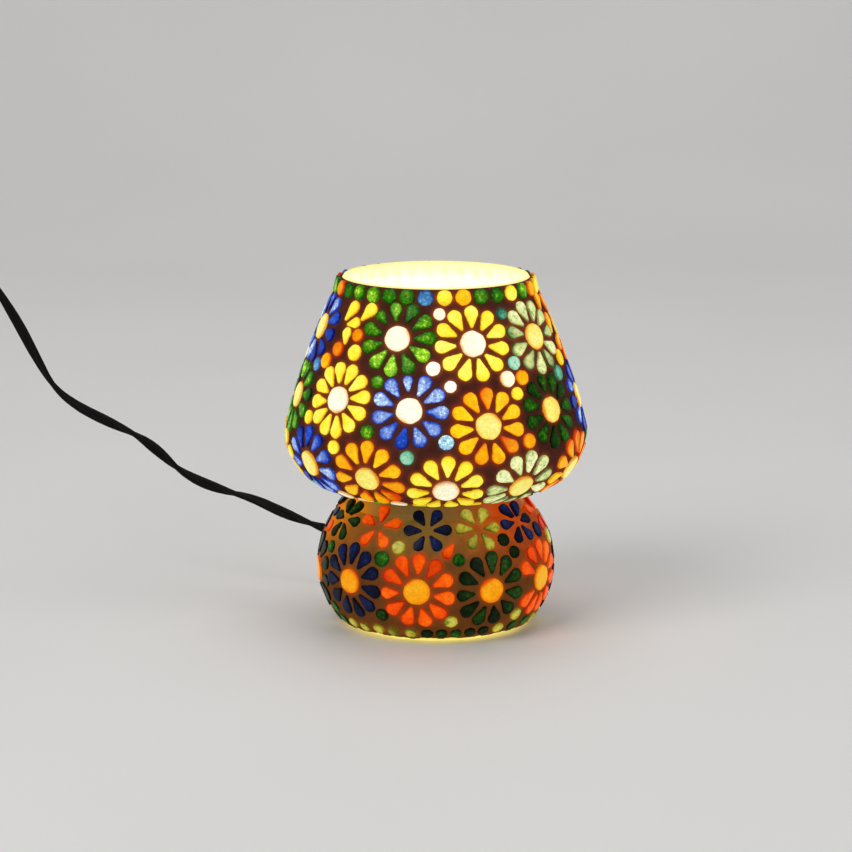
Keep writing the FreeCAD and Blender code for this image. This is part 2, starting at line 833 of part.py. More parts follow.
def make_dome_mosaic(meridian):
    mosaic = Mosaic("dome", meridian)
    for index, colour in enumerate(RIM_DOTS):
        azimuth = RIM_START + index * 360.0 / len(RIM_DOTS)
        mosaic.disc("dots", colour, azimuth, RIM_ROW, S.dot_radius.value * RIM_SCALE)
    for _, centre, _, _, azimuth, height in DOME_FLOWERS:
        station = meridian.station(height)
        mosaic.disc("discs", centre, azimuth, station, S.disc_radius.value)
    for colour, azimuth, height, turn in DOME_PETALS:
        station = meridian.station(height)
        any(mosaic.petal(colour, azimuth, station, turn, size) for size in Mosaic.TRIMS)
    for petals, _, count, turn, azimuth, height in DOME_FLOWERS:
        station = meridian.station(height)
        mosaic.ring(petals, azimuth, station, count, S.petal_orbit.value, turn)
    for colour, azimuth, height in DOME_DOTS:
        mosaic.dot(colour, azimuth, height)
    mosaic.fill(DOME_FILL_TOP, meridian.length - DOME_FILL_MARGIN, FILL_COLOURS["dome"])
    return mosaic


def make_bowl_mosaic(meridian, hole_station):
    mosaic = Mosaic("bowl", meridian)
    mosaic.reserve(HOLE_AZIMUTH, hole_station, S.grommet_flange_radius.value + Mosaic.GROUT_GAP)
    for _, azimuth, height in BOWL_FLOWERS:
        mosaic.disc("discs", "amber", azimuth, meridian.station(height), S.disc_radius.value)
    for petals, azimuth, height in BOWL_FLOWERS:
        station = meridian.station(height)
        mosaic.ring(petals, azimuth, station, BOWL_PETALS, S.petal_orbit.value, BOWL_TURN)
    station = meridian.station(STAR_HEIGHT)
    for petals, azimuth, count, turn in BOWL_STARS:
        mosaic.ring(petals, azimuth, station, count, S.small_petal_orbit.value, turn, STAR_SCALE)
    for colour, azimuth, height, turn, size in BOWL_SLIVERS:
        mosaic.petal(colour, azimuth, meridian.station(height), turn, size)
    for colour, azimuth, height in BOWL_DOTS:
        mosaic.dot(colour, azimuth, height)
    foot_size = S.dot_radius.value * FOOT_ROW_SCALE
    for index in range(FOOT_ROW_REPEATS):
        round_by = index * 360.0 / FOOT_ROW_REPEATS
        for colour, azimuth, height in FOOT_DOTS:
            station, place = meridian.station(height), azimuth + round_by
            any(mosaic.disc("dots", colour, place, station, foot_size * t) for t in Mosaic.TRIMS)
    foot_row = meridian.station(FOOT_ROW_HEIGHT)
    fill_top = meridian.station(BOWL_FILL_HEIGHT)
    mosaic.fill(fill_top, foot_row - FOOT_ROW_MARGIN, FILL_COLOURS["bowl"])
    return mosaic


# ---------------------------------------------------------------- holder plate and lamp holder


def make_plate():
    """Steel cross plate: a disc with two arms whose ends are bent down against the glass."""
    disc = cylinder("PlateDisc", S.plate_disc_radius, S.plate_thickness)
    arms = box("PlateArms", S.plate_arm_length, S.plate_arm_width, S.plate_thickness)
    tabs = []
    for side in (-1, 1):
        tab = box(f"PlateTab{side + 1}", S.plate_thickness, S.plate_arm_width, S.plate_tab_depth)
        shift = (S.plate_arm_length * 0.5 - S.plate_thickness * 0.5) * side
        tab.setExpression("Placement.Base.x", (shift - S.plate_thickness * 0.5).formula)
        tab.setExpression("Placement.Base.z", (S.plate_thickness - S.plate_tab_depth).formula)
        tabs.append(tab)
    blank = joined("PlateBlank", disc, arms, *tabs)
    hole = cylinder("PlateHole", S.skirt_radius + S.plate_hole_clearance, S.plate_thickness)
    plate = cut("PlateDrilled", blank, hole)
    plate.Placement = Placement(Vector(0, 0, S.plate_height.value), Rotation())
    plate.setExpression("Placement.Base.z", S.plate_height.formula)
    return keep(plate, "holder_plate")


def make_holder():
    """E14 lamp holder: cap below, skirt through the plate, two rings, core, contacts, screws."""
    wall = S.skirt_wall
    cap_bottom = S.skirt_bottom - S.holder_cap_height
    mouth = S.flex_width * 0.5 + S.cap_mouth_clearance
    keep(
        turned(
            "HolderCap",
            [
                (mouth, cap_bottom),
                (S.skirt_radius - S.cap_chamfer, cap_bottom),
                (S.skirt_radius, cap_bottom + S.cap_chamfer),
                (S.skirt_radius, S.skirt_bottom),
                (S.skirt_radius - wall, S.skirt_bottom),
                (S.skirt_radius - wall, cap_bottom + S.cap_inner_chamfer),
                (S.skirt_radius - S.cap_inner_chamfer, cap_bottom + wall),
                (mouth, cap_bottom + wall),
            ],
        ),
        "holder_cap",
    )
    skirt = bored("HolderSkirt", S.skirt_radius - wall, S.skirt_radius, S.skirt_bottom, S.skirt_top)
    keep(skirt, "holder_skirt")
    plate_top = S.plate_height + S.plate_thickness
    rings = []
    for name, bottom in (
        ("UpperRing", plate_top),
        ("LowerRing", S.plate_height - S.shade_ring_depth),
    ):
        inner = S.skirt_radius + S.ring_clearance
        rings.append(bored(name, inner, S.shade_ring_radius, bottom, bottom + S.shade_ring_depth))
    group("shade_rings", rings)
    core_bottom = S.skirt_bottom + S.core_lift
    core_top = core_bottom + S.core_height
    keep(
        turned(
            "HolderCore",
            [
                (ZERO, core_bottom),
                (S.core_radius, core_bottom),
                (S.core_radius, core_top),
                (ZERO, core_top),
            ],
        ),
        "holder_core",
    )
    sleeve_outer = S.sleeve_radius + S.sleeve_wall
    sleeve = bored(
        "ThreadSleeve", S.sleeve_radius, sleeve_outer, core_top, core_top + S.sleeve_length
    )
    keep(sleeve, "thread_sleeve")
    contact_depth = S.bulb_tip_height - core_top
    contact = cylinder("CentreContact", S.terminal_radius, contact_depth)
    contact.Placement = Placement(Vector(0, 0, core_top.value), Rotation())
    contact.setExpression("Placement.Base.z", core_top.formula)
    keep(contact, "centre_contact")
    screws = []
    for side in (-1, 1):
        screw = cylinder(f"Terminal{side + 1}", S.terminal_radius, S.terminal_length)
        screw.Placement = Placement(Vector(side * S.terminal_spread.value, 0, 0), Rotation())
        screw.setExpression("Placement.Base.z", (core_bottom - S.terminal_length).formula)
        screws.append(screw)
    group("terminal_screws", screws)
    grip_bore = mouth - S.grip_squeeze
    grip_top = cap_bottom + S.grip_height
    grip = bored("CordGrip", grip_bore, S.grip_radius, cap_bottom + wall, grip_top)
    keep(grip, "cord_grip")


# ---------------------------------------------------------------- bulb


def make_bulb():
    """Round E14 bulb, standing in the holder along Z."""
    tip = S.bulb_tip_height
    wall = S.bulb_cap_wall
    tip_top = tip + S.bulb_tip_length
    cap_bottom = tip_top + S.insulator_length
    cap_top = cap_bottom + S.bulb_cap_length
    chamfer = S.bulb_cap_chamfer
    chamfer_top = cap_bottom + S.bulb_cap_chamfer_height
    keep(
        turned(
            "BulbTip",
            [(ZERO, tip), (S.terminal_radius, tip), (S.terminal_radius, tip_top), (ZERO, tip_top)],
        ),
        "bulb_tip_contact",
    )
    keep(
        turned(
            "BulbInsulator",
            [
                (ZERO, tip_top),
                (S.terminal_radius + S.insulator_overlap, tip_top),
                (S.bulb_cap_radius - chamfer, cap_bottom),
                (ZERO, cap_bottom),
            ],
        ),
        "bulb_insulator",
    )
    keep(
        turned(
            "BulbCap",
            [
                (ZERO, cap_bottom),
                (S.bulb_cap_radius - chamfer, cap_bottom),
                (S.bulb_cap_radius, chamfer_top),
                (S.bulb_cap_radius, cap_top),
                (S.bulb_neck_radius, S.bulb_neck_height - S.bulb_neck_straight),
                (S.bulb_neck_radius, S.bulb_neck_height),
                (S.bulb_neck_radius - wall, S.bulb_neck_height),
                (S.bulb_cap_radius - wall, cap_top + wall),
                (S.bulb_cap_radius - wall, chamfer_top + wall),
                (S.bulb_cap_radius - wall - chamfer, cap_bottom + wall),
                (ZERO, cap_bottom + wall),
            ],
        ),
        "bulb_cap",
    )
    centre = Vector(0, 0, S.bulb_globe_height.value)
    neck_bottom = S.bulb_neck_height
    flare_top = S.bulb_globe_height - S.bulb_flare_depth
    skins = []
    for name, inset in (("Outer", ZERO), ("Inner", S.bulb_glass_wall)):
        globe = doc.addObject("Part::Sphere", f"Globe{name}")
        bind(globe, Radius=S.bulb_globe_radius - inset)
        globe.Placement = Placement(centre, Rotation())
        flare = doc.addObject("Part::Cone", f"Flare{name}")
        bind(
            flare,
            Radius1=S.bulb_neck_radius - S.bulb_neck_gap - inset,
            Radius2=S.bulb_flare_radius - inset,
            Height=flare_top - neck_bottom,
        )
        flare.Placement = Placement(Vector(0, 0, neck_bottom.value), Rotation())
        flare.setExpression("Placement.Base.z", neck_bottom.formula)
        skins.append(joined(f"Envelope{name}", globe, flare))
    keep(cut("Envelope", *skins), "bulb_glass")
    stem_foot = neck_bottom - S.stem_overlap
    stem_top = stem_foot + S.stem_height
    keep(
        turned(
            "BulbStem",
            [
                (ZERO, stem_foot),
                (S.stem_foot_radius, stem_foot),
                (S.stem_waist_radius, stem_foot + S.stem_waist_height),
                (S.terminal_radius, stem_top - S.stem_shoulder),
                (ZERO, stem_top),
            ],
        ),
        "bulb_stem",
    )
    spread = S.lead_spread.value
    filament_z = (S.bulb_globe_height + S.filament_lift).value
    lead_foot = (stem_foot + S.lead_foot_height).value
    beside_stem = (S.terminal_radius + S.lead_radius + S.lead_gap).value
    leads = []
    for side in (-1, 1):
        foot = Vector(side * beside_stem, 0, lead_foot)
        head = Vector(side * spread, 0, filament_z)
        rise = head - foot
        leads.append(Part.makeCylinder(S.lead_radius.value, rise.Length, foot, rise))
    feature("bulb_support_wires", Part.Compound(leads))
    wire_z = filament_z + S.filament_radius.value
    crown = Vector(0, 0, filament_z + S.filament_rise.value)
    bow = Part.Arc(Vector(-spread, 0, wire_z), crown, Vector(spread, 0, wire_z)).toShape()
    start, direction = bow.valueAt(bow.FirstParameter), bow.tangentAt(bow.FirstParameter)
    section = Part.Wire([Part.Circle(start, direction, S.filament_radius.value).toShape()])
    feature("bulb_filament", Part.Wire([bow]).makePipeShell([section], True, True))


# ---------------------------------------------------------------- flex and plug


def tube_path(points):
    """Straight runs joined by tangent arcs, each as large as its two runs allow."""
    edges = []
    radii = []
    last = points[0]
    for before, corner, after in zip(points, points[1:], points[2:]):
        back, ahead = before - corner, after - corner
        half_turn = (math.pi - back.getAngle(ahead)) / 2
        trim = 0.45 * min(back.Length, ahead.Length)
        radii.append(trim / math.tan(half_turn))
        back.normalize()
        ahead.normalize()
        start, end = corner + back * trim, corner + ahead * trim
        bisector = (back + ahead).normalize()
        sagitta = radii[-1] / math.cos(half_turn) - radii[-1]
        edges.append(Part.LineSegment(last, start).toShape())
        edges.append(Part.Arc(start, corner + bisector * sagitta, end).toShape())
        last = end
    edges.append(Part.LineSegment(last, points[-1]).toShape())
    return Part.Wire(edges), radii


def tube(label, points, diameter):
    """A round tube along a path, with its volume checked against section times length."""
    path, radii = tube_path(points)
    start = (points[1] - points[0]).normalize()
    section = Part.Wire([Part.Circle(points[0], start, diameter / 2).toShape()])
    solid = path.makePipeShell([section], True, True)
    expected = math.pi * diameter**2 / 4 * path.Length
    print(f"{label}: length {path.Length:.1f} mm, least radius {min(radii):.1f} mm,",
          "radii", " ".join(f"{radius:.0f}" for radius in radii))
    if abs(solid.Volume / expected - 1) > 0.01:
        raise RuntimeError(f"{label} has volume {solid.Volume:.0f}, not {expected:.0f}")
    return feature(label, solid)


# The flex from the grommet to its plug, which sits in a wall outlet up on the left.
FLEX_ROUTE = [
    (-64, 37, 41.2),
    (-79, 44, 45.5),
    (-94, 50, 51.5),
    (-110, 56, 54.5),
    (-123, 60, 58.5),
    (-134, 62.5, 64.5),
    (-144, 64.5, 73.5),
    (-155, 67, 81.5),
    (-170, 71, 87.5),
    (-187, 74, 95.5),
    (-199, 76, 105),
    (-208, 77, 121),
    (-217, 79, 138.5),
    (-227.5, 80, 156),
    (-237, 81, 171),
    (-244, 82, 186),
    (-244, 82, 200),
]


# The flex inside the bowl: reach from the lamp's axis towards the cable hole, height.
INNER_ROUTE = [(40, 35.1), (26, 22), (11, 14), (1.5, 22), (-0.3, 34)]

INNER_END = 48.0

# One core of the flex from the cord grip to its terminal: distance to the side, height.
CORE_ROUTE = [(1.3, 48.45), (1.3, 50), (6.5, 50.9), (6.5, 53)]


def make_grommet(hole):
    """Rubber grommet: a stem through the glass between two flanges. Returns its two end points."""
    flange = S.grommet_flange.value
    radius = S.grommet_flange_radius.value
    outer_seat = 0.05
    inner_end = -S.glass_wall.value - S.grommet_seat.value - flange
    length = outer_seat + flange - inner_end
    ends = [Vector(0, 0, inner_end), Vector(0, 0, inner_end + length)]
    stem = Part.makeCylinder(S.cable_hole_radius.value - 0.05, length, ends[0])
    flanges = [
        Part.makeCylinder(radius, flange, ends[0]),
        Part.makeCylinder(radius, flange, Vector(0, 0, outer_seat)),
    ]
    passage = Part.makeCylinder(S.flex_width.value / 2, length, ends[0])
    feature("cable_grommet", stem.fuse(flanges).cut(passage).removeSplitter(), hole)
    return [hole.multVec(end) for end in ends]


def make_flex(hole):
    """Grommet in the glass, outer flex to the plug, inner flex and its two cores to the holder."""
    inner_start, outer_start = make_grommet(hole)
    tube("flex", [outer_start] + [Vector(*point) for point in FLEX_ROUTE], S.flex_width.value)
    out = Vector(hole.Base.x, hole.Base.y, 0).normalize()
    inside = [out * reach + Vector(0, 0, level) for reach, level in INNER_ROUTE]
    grip_top = Vector(0, 0, INNER_END)
    tube("inner_flex", [inner_start] + inside + [grip_top], S.flex_width.value)
    cores = []
    for side in (-1, 1):
        points = [Vector(side * across, 0, level) for across, level in CORE_ROUTE]
        path, _ = tube_path(points)
        start = Part.Circle(points[0], points[1] - points[0], S.core_wire_radius.value)
        cores.append(path.makePipeShell([Part.Wire([start.toShape()])], True, True))
    feature("core_wires", Part.Compound(cores))


def make_plug():
    """Side-entry two-pin plug: boot below, moulded body, pins towards +Y."""
    end = Vector(*FLEX_ROUTE[-1])
    boot = doc.addObject("Part::Cone", "PlugBoot")
    bind(
        boot,
        Radius1=S.flex_width * 0.5 + 0.6,
        Radius2=S.boot_radius,
        Height=S.boot_length,
    )
    boot.Placement = Placement(end, Rotation())
    keep(boot, "plug_boot")
    body = doc.addObject("PartDesign::Body", "PlugBody")
    half = S.plug_width * 0.5
    slope = S.plug_width * 0.3
    corners = [
        (-slope, ZERO),
        (slope, ZERO),
        (half, S.plug_height * 0.3),
        (half, S.plug_height * 0.8),
        (slope, S.plug_height),
        (-slope, S.plug_height),
        (-half, S.plug_height * 0.8),
        (-half, S.plug_height * 0.3),
    ]
    sketch = outline_sketch(body, "PlugOutline", corners)
    pad = body.newObject("PartDesign::Pad", "PlugPad")
    pad.Profile = sketch
    bind(pad, Length=S.plug_depth)
    pad.Midplane = True
    doc.recompute()
    round_off = body.newObject("PartDesign::Fillet", "PlugFillet")
    round_off.Base = (pad, [f"Edge{n}" for n in range(1, len(pad.Shape.Edges) + 1)])
    bind(round_off, Radius=S.plug_depth * 0.2)
    body.Tip = round_off
    body_base = end + Vector(0, 0, S.boot_length.value)
    body.Placement = Placement(body_base, Rotation())
    keep(body, "plug_body")
    back = body_base.y + S.plug_depth.value / 2
    middle = body_base.z + S.plug_height.value * 0.55
    pins = []
    for side in (-0.5, 0.5):
        base = Vector(body_base.x + side * S.pin_spacing.value, back, middle)
        pins.append(cylinder(f"Pin{side + 0.5:.0f}", S.pin_radius, S.pin_length, base, Vector(0, 1, 0)))
    group("plug_pins", pins)


# ---------------------------------------------------------------- assembly

PAIRS = {"shade_rings", "terminal_screws", "bulb_support_wires", "core_wires", "plug_pins"}

glass, glass_sketch = make_glass()
low_arc, upper_arc, waist_arc, *dome_curves = glass_sketch.Geometry[3:10]
dome_meridian = Meridian(dome_curves[::-1])
bowl_meridian = Meridian([waist_arc, upper_arc, low_arc])

hole_station = bowl_meridian.station(S.cable_hole_height.value)
hole = on_glass(bowl_meridian, HOLE_AZIMUTH, hole_station)
hole_axis = hole.Rotation.multVec(Vector(0, 0, 1))
drill_start = hole.multVec(Vector(0, 0, -S.glass_wall.value * 3))
drill = cylinder("CableDrill", S.cable_hole_radius, S.glass_wall * 6, drill_start, hole_axis)
keep(cut("GlassDrilled", glass, drill), "glass_body")

bed = S.bed_thickness.value
bed_margin = {"dome_top": 0.6, "dome_end": 2.0}
bowl_bed_top, bowl_bed_foot = 61.5, 3.0  # heights
dome_end = dome_meridian.length - bed_margin["dome_end"]
feature("dome_grout", shell(dome_meridian, bed_margin["dome_top"], dome_end, bed))
top_station, foot_station = (bowl_meridian.station(height) for height in (bowl_bed_top, bowl_bed_foot))
bowl_bed = shell(bowl_meridian, top_station, foot_station, bed)
flange_room = S.grommet_flange_radius.value + 0.4
clearance = Part.makeCylinder(flange_room, S.glass_wall.value * 6, drill_start, hole_axis)
feature("bowl_grout", bowl_bed.cut(clearance))

for mosaic in (make_dome_mosaic(dome_meridian), make_bowl_mosaic(bowl_meridian, hole_station)):
    print(f"{mosaic.name}: {mosaic.count} chips")
    mosaic.write()

make_plate()
make_holder()
make_bulb()
make_flex(hole)
make_plug()
doc.recompute()

for item in doc.Objects:
    if {"Invalid", "Error"} & set(item.State):
        raise RuntimeError(f"{item.Label} failed: {item.State}")
os.makedirs("parts", exist_ok=True)
for item in PARTS:
    if item.Shape.isNull() or not item.Shape.isValid():
        raise RuntimeError(f"{item.Label} has no valid shape")
    pieces = 2 if item.Label in PAIRS else 1
    if not item.Label.startswith(("dome_", "bowl_")) and len(item.Shape.Solids) != pieces:
        raise RuntimeError(f"{item.Label} is {len(item.Shape.Solids)} solids, not {pieces}")
    item.Shape.exportStep(f"parts/{item.Label}.step")
print(f"{len(PARTS)} parts written")
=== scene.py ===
import math
import random

import bmesh
import bpy
import numpy as np
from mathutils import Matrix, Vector
from mathutils.bvhtree import BVHTree


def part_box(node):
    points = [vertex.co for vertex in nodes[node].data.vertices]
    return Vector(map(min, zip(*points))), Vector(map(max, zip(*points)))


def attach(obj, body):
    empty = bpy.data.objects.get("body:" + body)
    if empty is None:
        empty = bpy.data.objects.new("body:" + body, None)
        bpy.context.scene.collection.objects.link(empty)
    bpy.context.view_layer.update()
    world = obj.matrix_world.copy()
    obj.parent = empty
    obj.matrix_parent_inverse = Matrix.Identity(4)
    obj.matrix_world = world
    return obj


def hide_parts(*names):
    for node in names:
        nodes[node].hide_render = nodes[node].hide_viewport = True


# Mosaic glass table lamp, lit: chips in grout over a blown glass body, bulb, holder, twin flex and plug.
# Metres, in the row frame: +Z up, front towards -Y, the lamp stands on z = 0.

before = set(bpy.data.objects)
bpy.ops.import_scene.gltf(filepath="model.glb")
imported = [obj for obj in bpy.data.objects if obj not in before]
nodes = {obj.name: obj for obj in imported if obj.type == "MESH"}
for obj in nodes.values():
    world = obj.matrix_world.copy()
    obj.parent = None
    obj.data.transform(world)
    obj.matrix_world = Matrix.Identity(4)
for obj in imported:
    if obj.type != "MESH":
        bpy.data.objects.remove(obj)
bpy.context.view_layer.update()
MM = 0.001
scene = bpy.context.scene


# ---------------------------------------------------------------- camera

AIM = Vector((-4.94, 0.0, 99.5)) * MM
CAMERA_DISTANCE = 1.6
CAMERA_PITCH = math.radians(11.2)
CAMERA_LENS = 135.7


def make_camera():
    camera = bpy.data.objects.new("camera", bpy.data.cameras.new("camera"))
    scene.collection.objects.link(camera)
    camera.data.lens = CAMERA_LENS
    back = Vector((0, -math.cos(CAMERA_PITCH), math.sin(CAMERA_PITCH)))
    camera.location = AIM + back * CAMERA_DISTANCE
    camera.rotation_euler = (math.pi / 2 - CAMERA_PITCH, 0, 0)
    scene.camera = camera


make_camera()


# ---------------------------------------------------------------- mesh helpers


def mesh_object(name, verts, faces, smooth=True):
    mesh = bpy.data.meshes.new(name)
    mesh.from_pydata([tuple(v) for v in verts], [], faces)
    mesh.validate()
    piece = bpy.data.objects.new(name, mesh)
    scene.collection.objects.link(piece)
    if smooth:
        mesh.shade_smooth()
    return piece


def ring_faces(columns, rows, offset=0):
    """Quads between rows of a closed ring grid."""
    faces = []
    for row in range(rows - 1):
        for column in range(columns):
            ahead = (column + 1) % columns
            low, high = offset + row * columns, offset + (row + 1) * columns
            faces.append((low + column, low + ahead, high + ahead, high + column))
    return faces


def turned(name, outline, columns=96, centre=(0, 0)):
    """A closed turned piece from (radius, height) points, both ends on the axis or closed on itself."""
    verts = []
    for radius, height in outline:
        for column in range(columns):
            angle = 2 * math.pi * column / columns
            verts.append((centre[0] + radius * math.cos(angle), centre[1] + radius * math.sin(angle), height))
    piece = mesh_object(name, verts, ring_faces(columns, len(outline)))
    clean(piece)
    return piece


def clean(piece, distance=1e-6):
    """Weld doubled points and turn all faces outwards."""
    work = bmesh.new()
    work.from_mesh(piece.data)
    bmesh.ops.remove_doubles(work, verts=work.verts, dist=distance)
    bmesh.ops.dissolve_degenerate(work, edges=work.edges, dist=distance)
    bmesh.ops.recalc_face_normals(work, faces=work.faces)
    work.to_mesh(piece.data)
    work.free()


def give(piece, material):
    piece.data.materials.clear()
    piece.data.materials.append(material)


def finish_piece(piece, body, slot, material, *replaced):
    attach(piece, body)
    give(piece, material)
    if replaced:
        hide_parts(*replaced)
    return piece


# ---------------------------------------------------------------- materials


def linear(colour):
    """Linear values of an 8-bit display colour."""
    return tuple((c / 255 / 12.92) if c <= 10 else ((c / 255 + 0.055) / 1.055) ** 2.4 for c in colour)


class Paint:
    """A material with its Principled shader and short calls for the nodes round it."""

    def __init__(self, name, **sockets):
        self.material = bpy.data.materials.new(name)
        self.material.use_nodes = True
        self.tree = self.material.node_tree
        self.shader = self.tree.nodes["Principled BSDF"]
        for socket, value in sockets.items():
            self.shader.inputs[socket.replace("_", " ")].default_value = value

    def node(self, kind, **settings):
        item = self.tree.nodes.new(kind)
        for key, value in settings.items():
            if hasattr(item, key):
                setattr(item, key, value)
            else:
                item.inputs[key.replace("_", " ")].default_value = value
        return item

    def link(self, source, target):
        self.tree.links.new(source, target)

    def place(self):
        return self.node("ShaderNodeTexCoord").outputs["Object"]

    def noise(self, scale, detail=3.0, roughness=0.5, stretch=None):
        item = self.node("ShaderNodeTexNoise", Scale=scale, Detail=detail, Roughness=roughness)
        source = self.place()
        if stretch:
            mapping = self.node("ShaderNodeMapping")
            mapping.inputs["Scale"].default_value = stretch
            self.link(source, mapping.inputs["Vector"])
            source = mapping.outputs["Vector"]
        self.link(source, item.inputs["Vector"])
        return item.outputs["Fac"]

    def ramp(self, source, stops):
        item = self.node("ShaderNodeValToRGB")
        while len(item.color_ramp.elements) < len(stops):
            item.color_ramp.elements.new(0.5)
        for element, (position, colour) in zip(item.color_ramp.elements, stops):
            element.position = position
            element.color = (*colour, 1) if len(colour) == 3 else colour
        self.link(source, item.inputs["Fac"])
        return item.outputs["Color"]

    def multiply(self, first, second, factor=1.0):
        item = self.node("ShaderNodeMix", data_type="RGBA", blend_type="MULTIPLY")
        item.inputs["Factor"].default_value = factor
        self.link(first, item.inputs["A"])
        self.link(second, item.inputs["B"])
        return item.outputs["Result"]

    def bump(self, height, strength, distance):
        item = self.node("ShaderNodeBump", Strength=strength, Distance=distance)
        self.link(height, item.inputs["Height"])
        self.link(item.outputs["Normal"], self.shader.inputs["Normal"])


def grey(value):
    return (value, value, value)


def light_attribute(paint):
    """The light that reaches a point of the lamp through its glass, as stored on the mesh."""
    return paint.node("ShaderNodeAttribute", attribute_name="light").outputs["Color"]


def chip_glass(name, dark, bright, scale):
    """Cut glass, lit from behind: the chip's own light, with shaded veins, bright flaws and seeds in it."""
    gloss = {"Roughness": 0.3, "Specular_IOR_Level": 0.05, "Coat_Weight": 0.06, "Coat_Roughness": 0.05}
    paint = Paint(name, Emission_Strength=1.0, **gloss)
    light = light_attribute(paint)
    veins = paint.ramp(
        paint.noise(scale, detail=5.0, roughness=0.68),
        [(0.34, dark), (0.47, grey(0.94)), (0.54, grey(1.0)), (0.66, bright)],
    )
    seeds = paint.ramp(paint.noise(scale * 3.1, detail=2.0), [(0.36, grey(0.86)), (0.62, grey(1.06))])
    lit = paint.multiply(paint.multiply(light, veins), seeds)
    paint.link(lit, paint.shader.inputs["Emission Color"])
    # The base colour is the painted light dimmed, so it too carries the painted glare and shade.
    dull = paint.ramp(paint.noise(scale * 0.4), [(0.3, grey(0.08)), (0.7, grey(0.14))])
    paint.link(paint.multiply(light, dull), paint.shader.inputs["Base Color"])
    paint.bump(paint.noise(420.0, detail=2.0), 0.2, 0.0005)
    return paint.material


def grout(name, low, high):
    """Trowelled grout: sandy, blotched, with a little light in it where it is thin or beside a chip."""
    paint = Paint(name, Roughness=0.9, Specular_IOR_Level=0.08, Emission_Strength=1.0)
    blotches = paint.noise(120.0, detail=6.0, roughness=0.65)
    paint.link(paint.ramp(blotches, [(0.3, low), (0.7, high)]), paint.shader.inputs["Base Color"])
    shade = paint.ramp(blotches, [(0.3, grey(0.72)), (0.7, grey(1.18))])
    paint.link(paint.multiply(light_attribute(paint), shade), paint.shader.inputs["Emission Color"])
    paint.bump(paint.noise(1500.0, detail=4.0, roughness=0.7), 0.5, 0.0004)
    return paint.material


def moulded(name, colour, roughness, grain=900.0, depth=0.00012):
    """Moulded plastic or rubber with a fine grain and faint wear."""
    paint = Paint(name, Specular_IOR_Level=0.1)
    wear = paint.noise(60.0, detail=4.0)
    worn = tuple(min(1.0, c * 1.5 + 0.001) for c in colour)
    paint.link(paint.ramp(wear, [(0.35, colour), (0.75, worn)]), paint.shader.inputs["Base Color"])
    rough = paint.ramp(wear, [(0.3, grey(roughness - 0.06)), (0.7, grey(roughness + 0.1))])
    paint.link(rough, paint.shader.inputs["Roughness"])
    paint.bump(paint.noise(grain, detail=3.0), 0.35, depth)
    return paint.material


def metal(name, colour, roughness, grain=(1.0, 1.0, 14.0)):
    """Metal with fine drawn or rolled lines and a little tarnish."""
    paint = Paint(name, Metallic=1.0)
    tarnish = paint.noise(180.0, detail=5.0)
    dark = tuple(c * 0.72 for c in colour)
    paint.link(paint.ramp(tarnish, [(0.35, dark), (0.65, colour)]), paint.shader.inputs["Base Color"])
    rough = paint.ramp(tarnish, [(0.3, grey(roughness + 0.14)), (0.7, grey(roughness))])
    paint.link(rough, paint.shader.inputs["Roughness"])
    paint.bump(paint.noise(260.0, detail=2.0, stretch=grain), 0.15, 0.00008)
    return paint.material


# ---------------------------------------------------------------- flex

FLEX_WIDTH = 5.4 * MM
FLEX_CORE = FLEX_WIDTH / 4
FLEX_EXIT = (-50.54, 29.18, 38.4)
FLEX_ROUTE = [
    FLEX_EXIT,
    (-64, 37, 41.2),
    (-79, 44, 45.5),
    (-94, 50, 51.5),
    (-110, 56, 54.5),
    (-123, 60, 58.5),
    (-134, 62.5, 64.5),
    (-144, 64.5, 73.5),
    (-155, 67, 81.5),
    (-170, 71, 87.5),
    (-187, 74, 95.5),
    (-199, 76, 105),
    (-208, 77, 121),
    (-217, 79, 138.5),
    (-227.5, 80, 156),
    (-237, 81, 171),
    (-244, 82, 186),
    (-244, 82, 200),
]
# Distances from the lamp at which the flat flex has made one more quarter turn; it is edge-on at the first.
FLEX_QUARTERS = [13, 31, 58, 75, 93, 108, 121, 140, 170, 202, 234, 262]


def route_line(name, points):
    """Points along the smooth line whose control points are given."""
    curve = bpy.data.curves.new(name, "CURVE")
    curve.dimensions = "3D"
    curve.resolution_u = 12
    spline = curve.splines.new("NURBS")
    spline.points.add(len(points) - 1)
    for target, point in zip(spline.points, points):
        target.co = (*(Vector(point) * MM), 1)
    spline.order_u = 3
    spline.use_endpoint_u = True
    holder = bpy.data.objects.new(name, curve)
    scene.collection.objects.link(holder)
    bpy.context.view_layer.update()
    line = bpy.data.meshes.new_from_object(holder)
    found = [v.co.copy() for v in line.vertices]
    bpy.data.objects.remove(holder)
    bpy.data.curves.remove(curve)
    return found


def twin_section(lobe_points=11):
    """Outline of two round cores side by side with a web between them, one unit per core radius."""
    web = math.radians(34)
    outline = []
    for side, first in ((1, -math.pi + web), (-1, web)):
        for index in range(lobe_points):
            angle = first + (2 * math.pi - 2 * web) * index / (lobe_points - 1)
            outline.append((side + math.cos(angle), math.sin(angle)))
    return outline


def quarter_turns(distance):
    """How many quarter turns the flex has made at a distance from the lamp, in millimetres."""
    return float(np.interp(distance, [0, *FLEX_QUARTERS], range(len(FLEX_QUARTERS) + 1)))


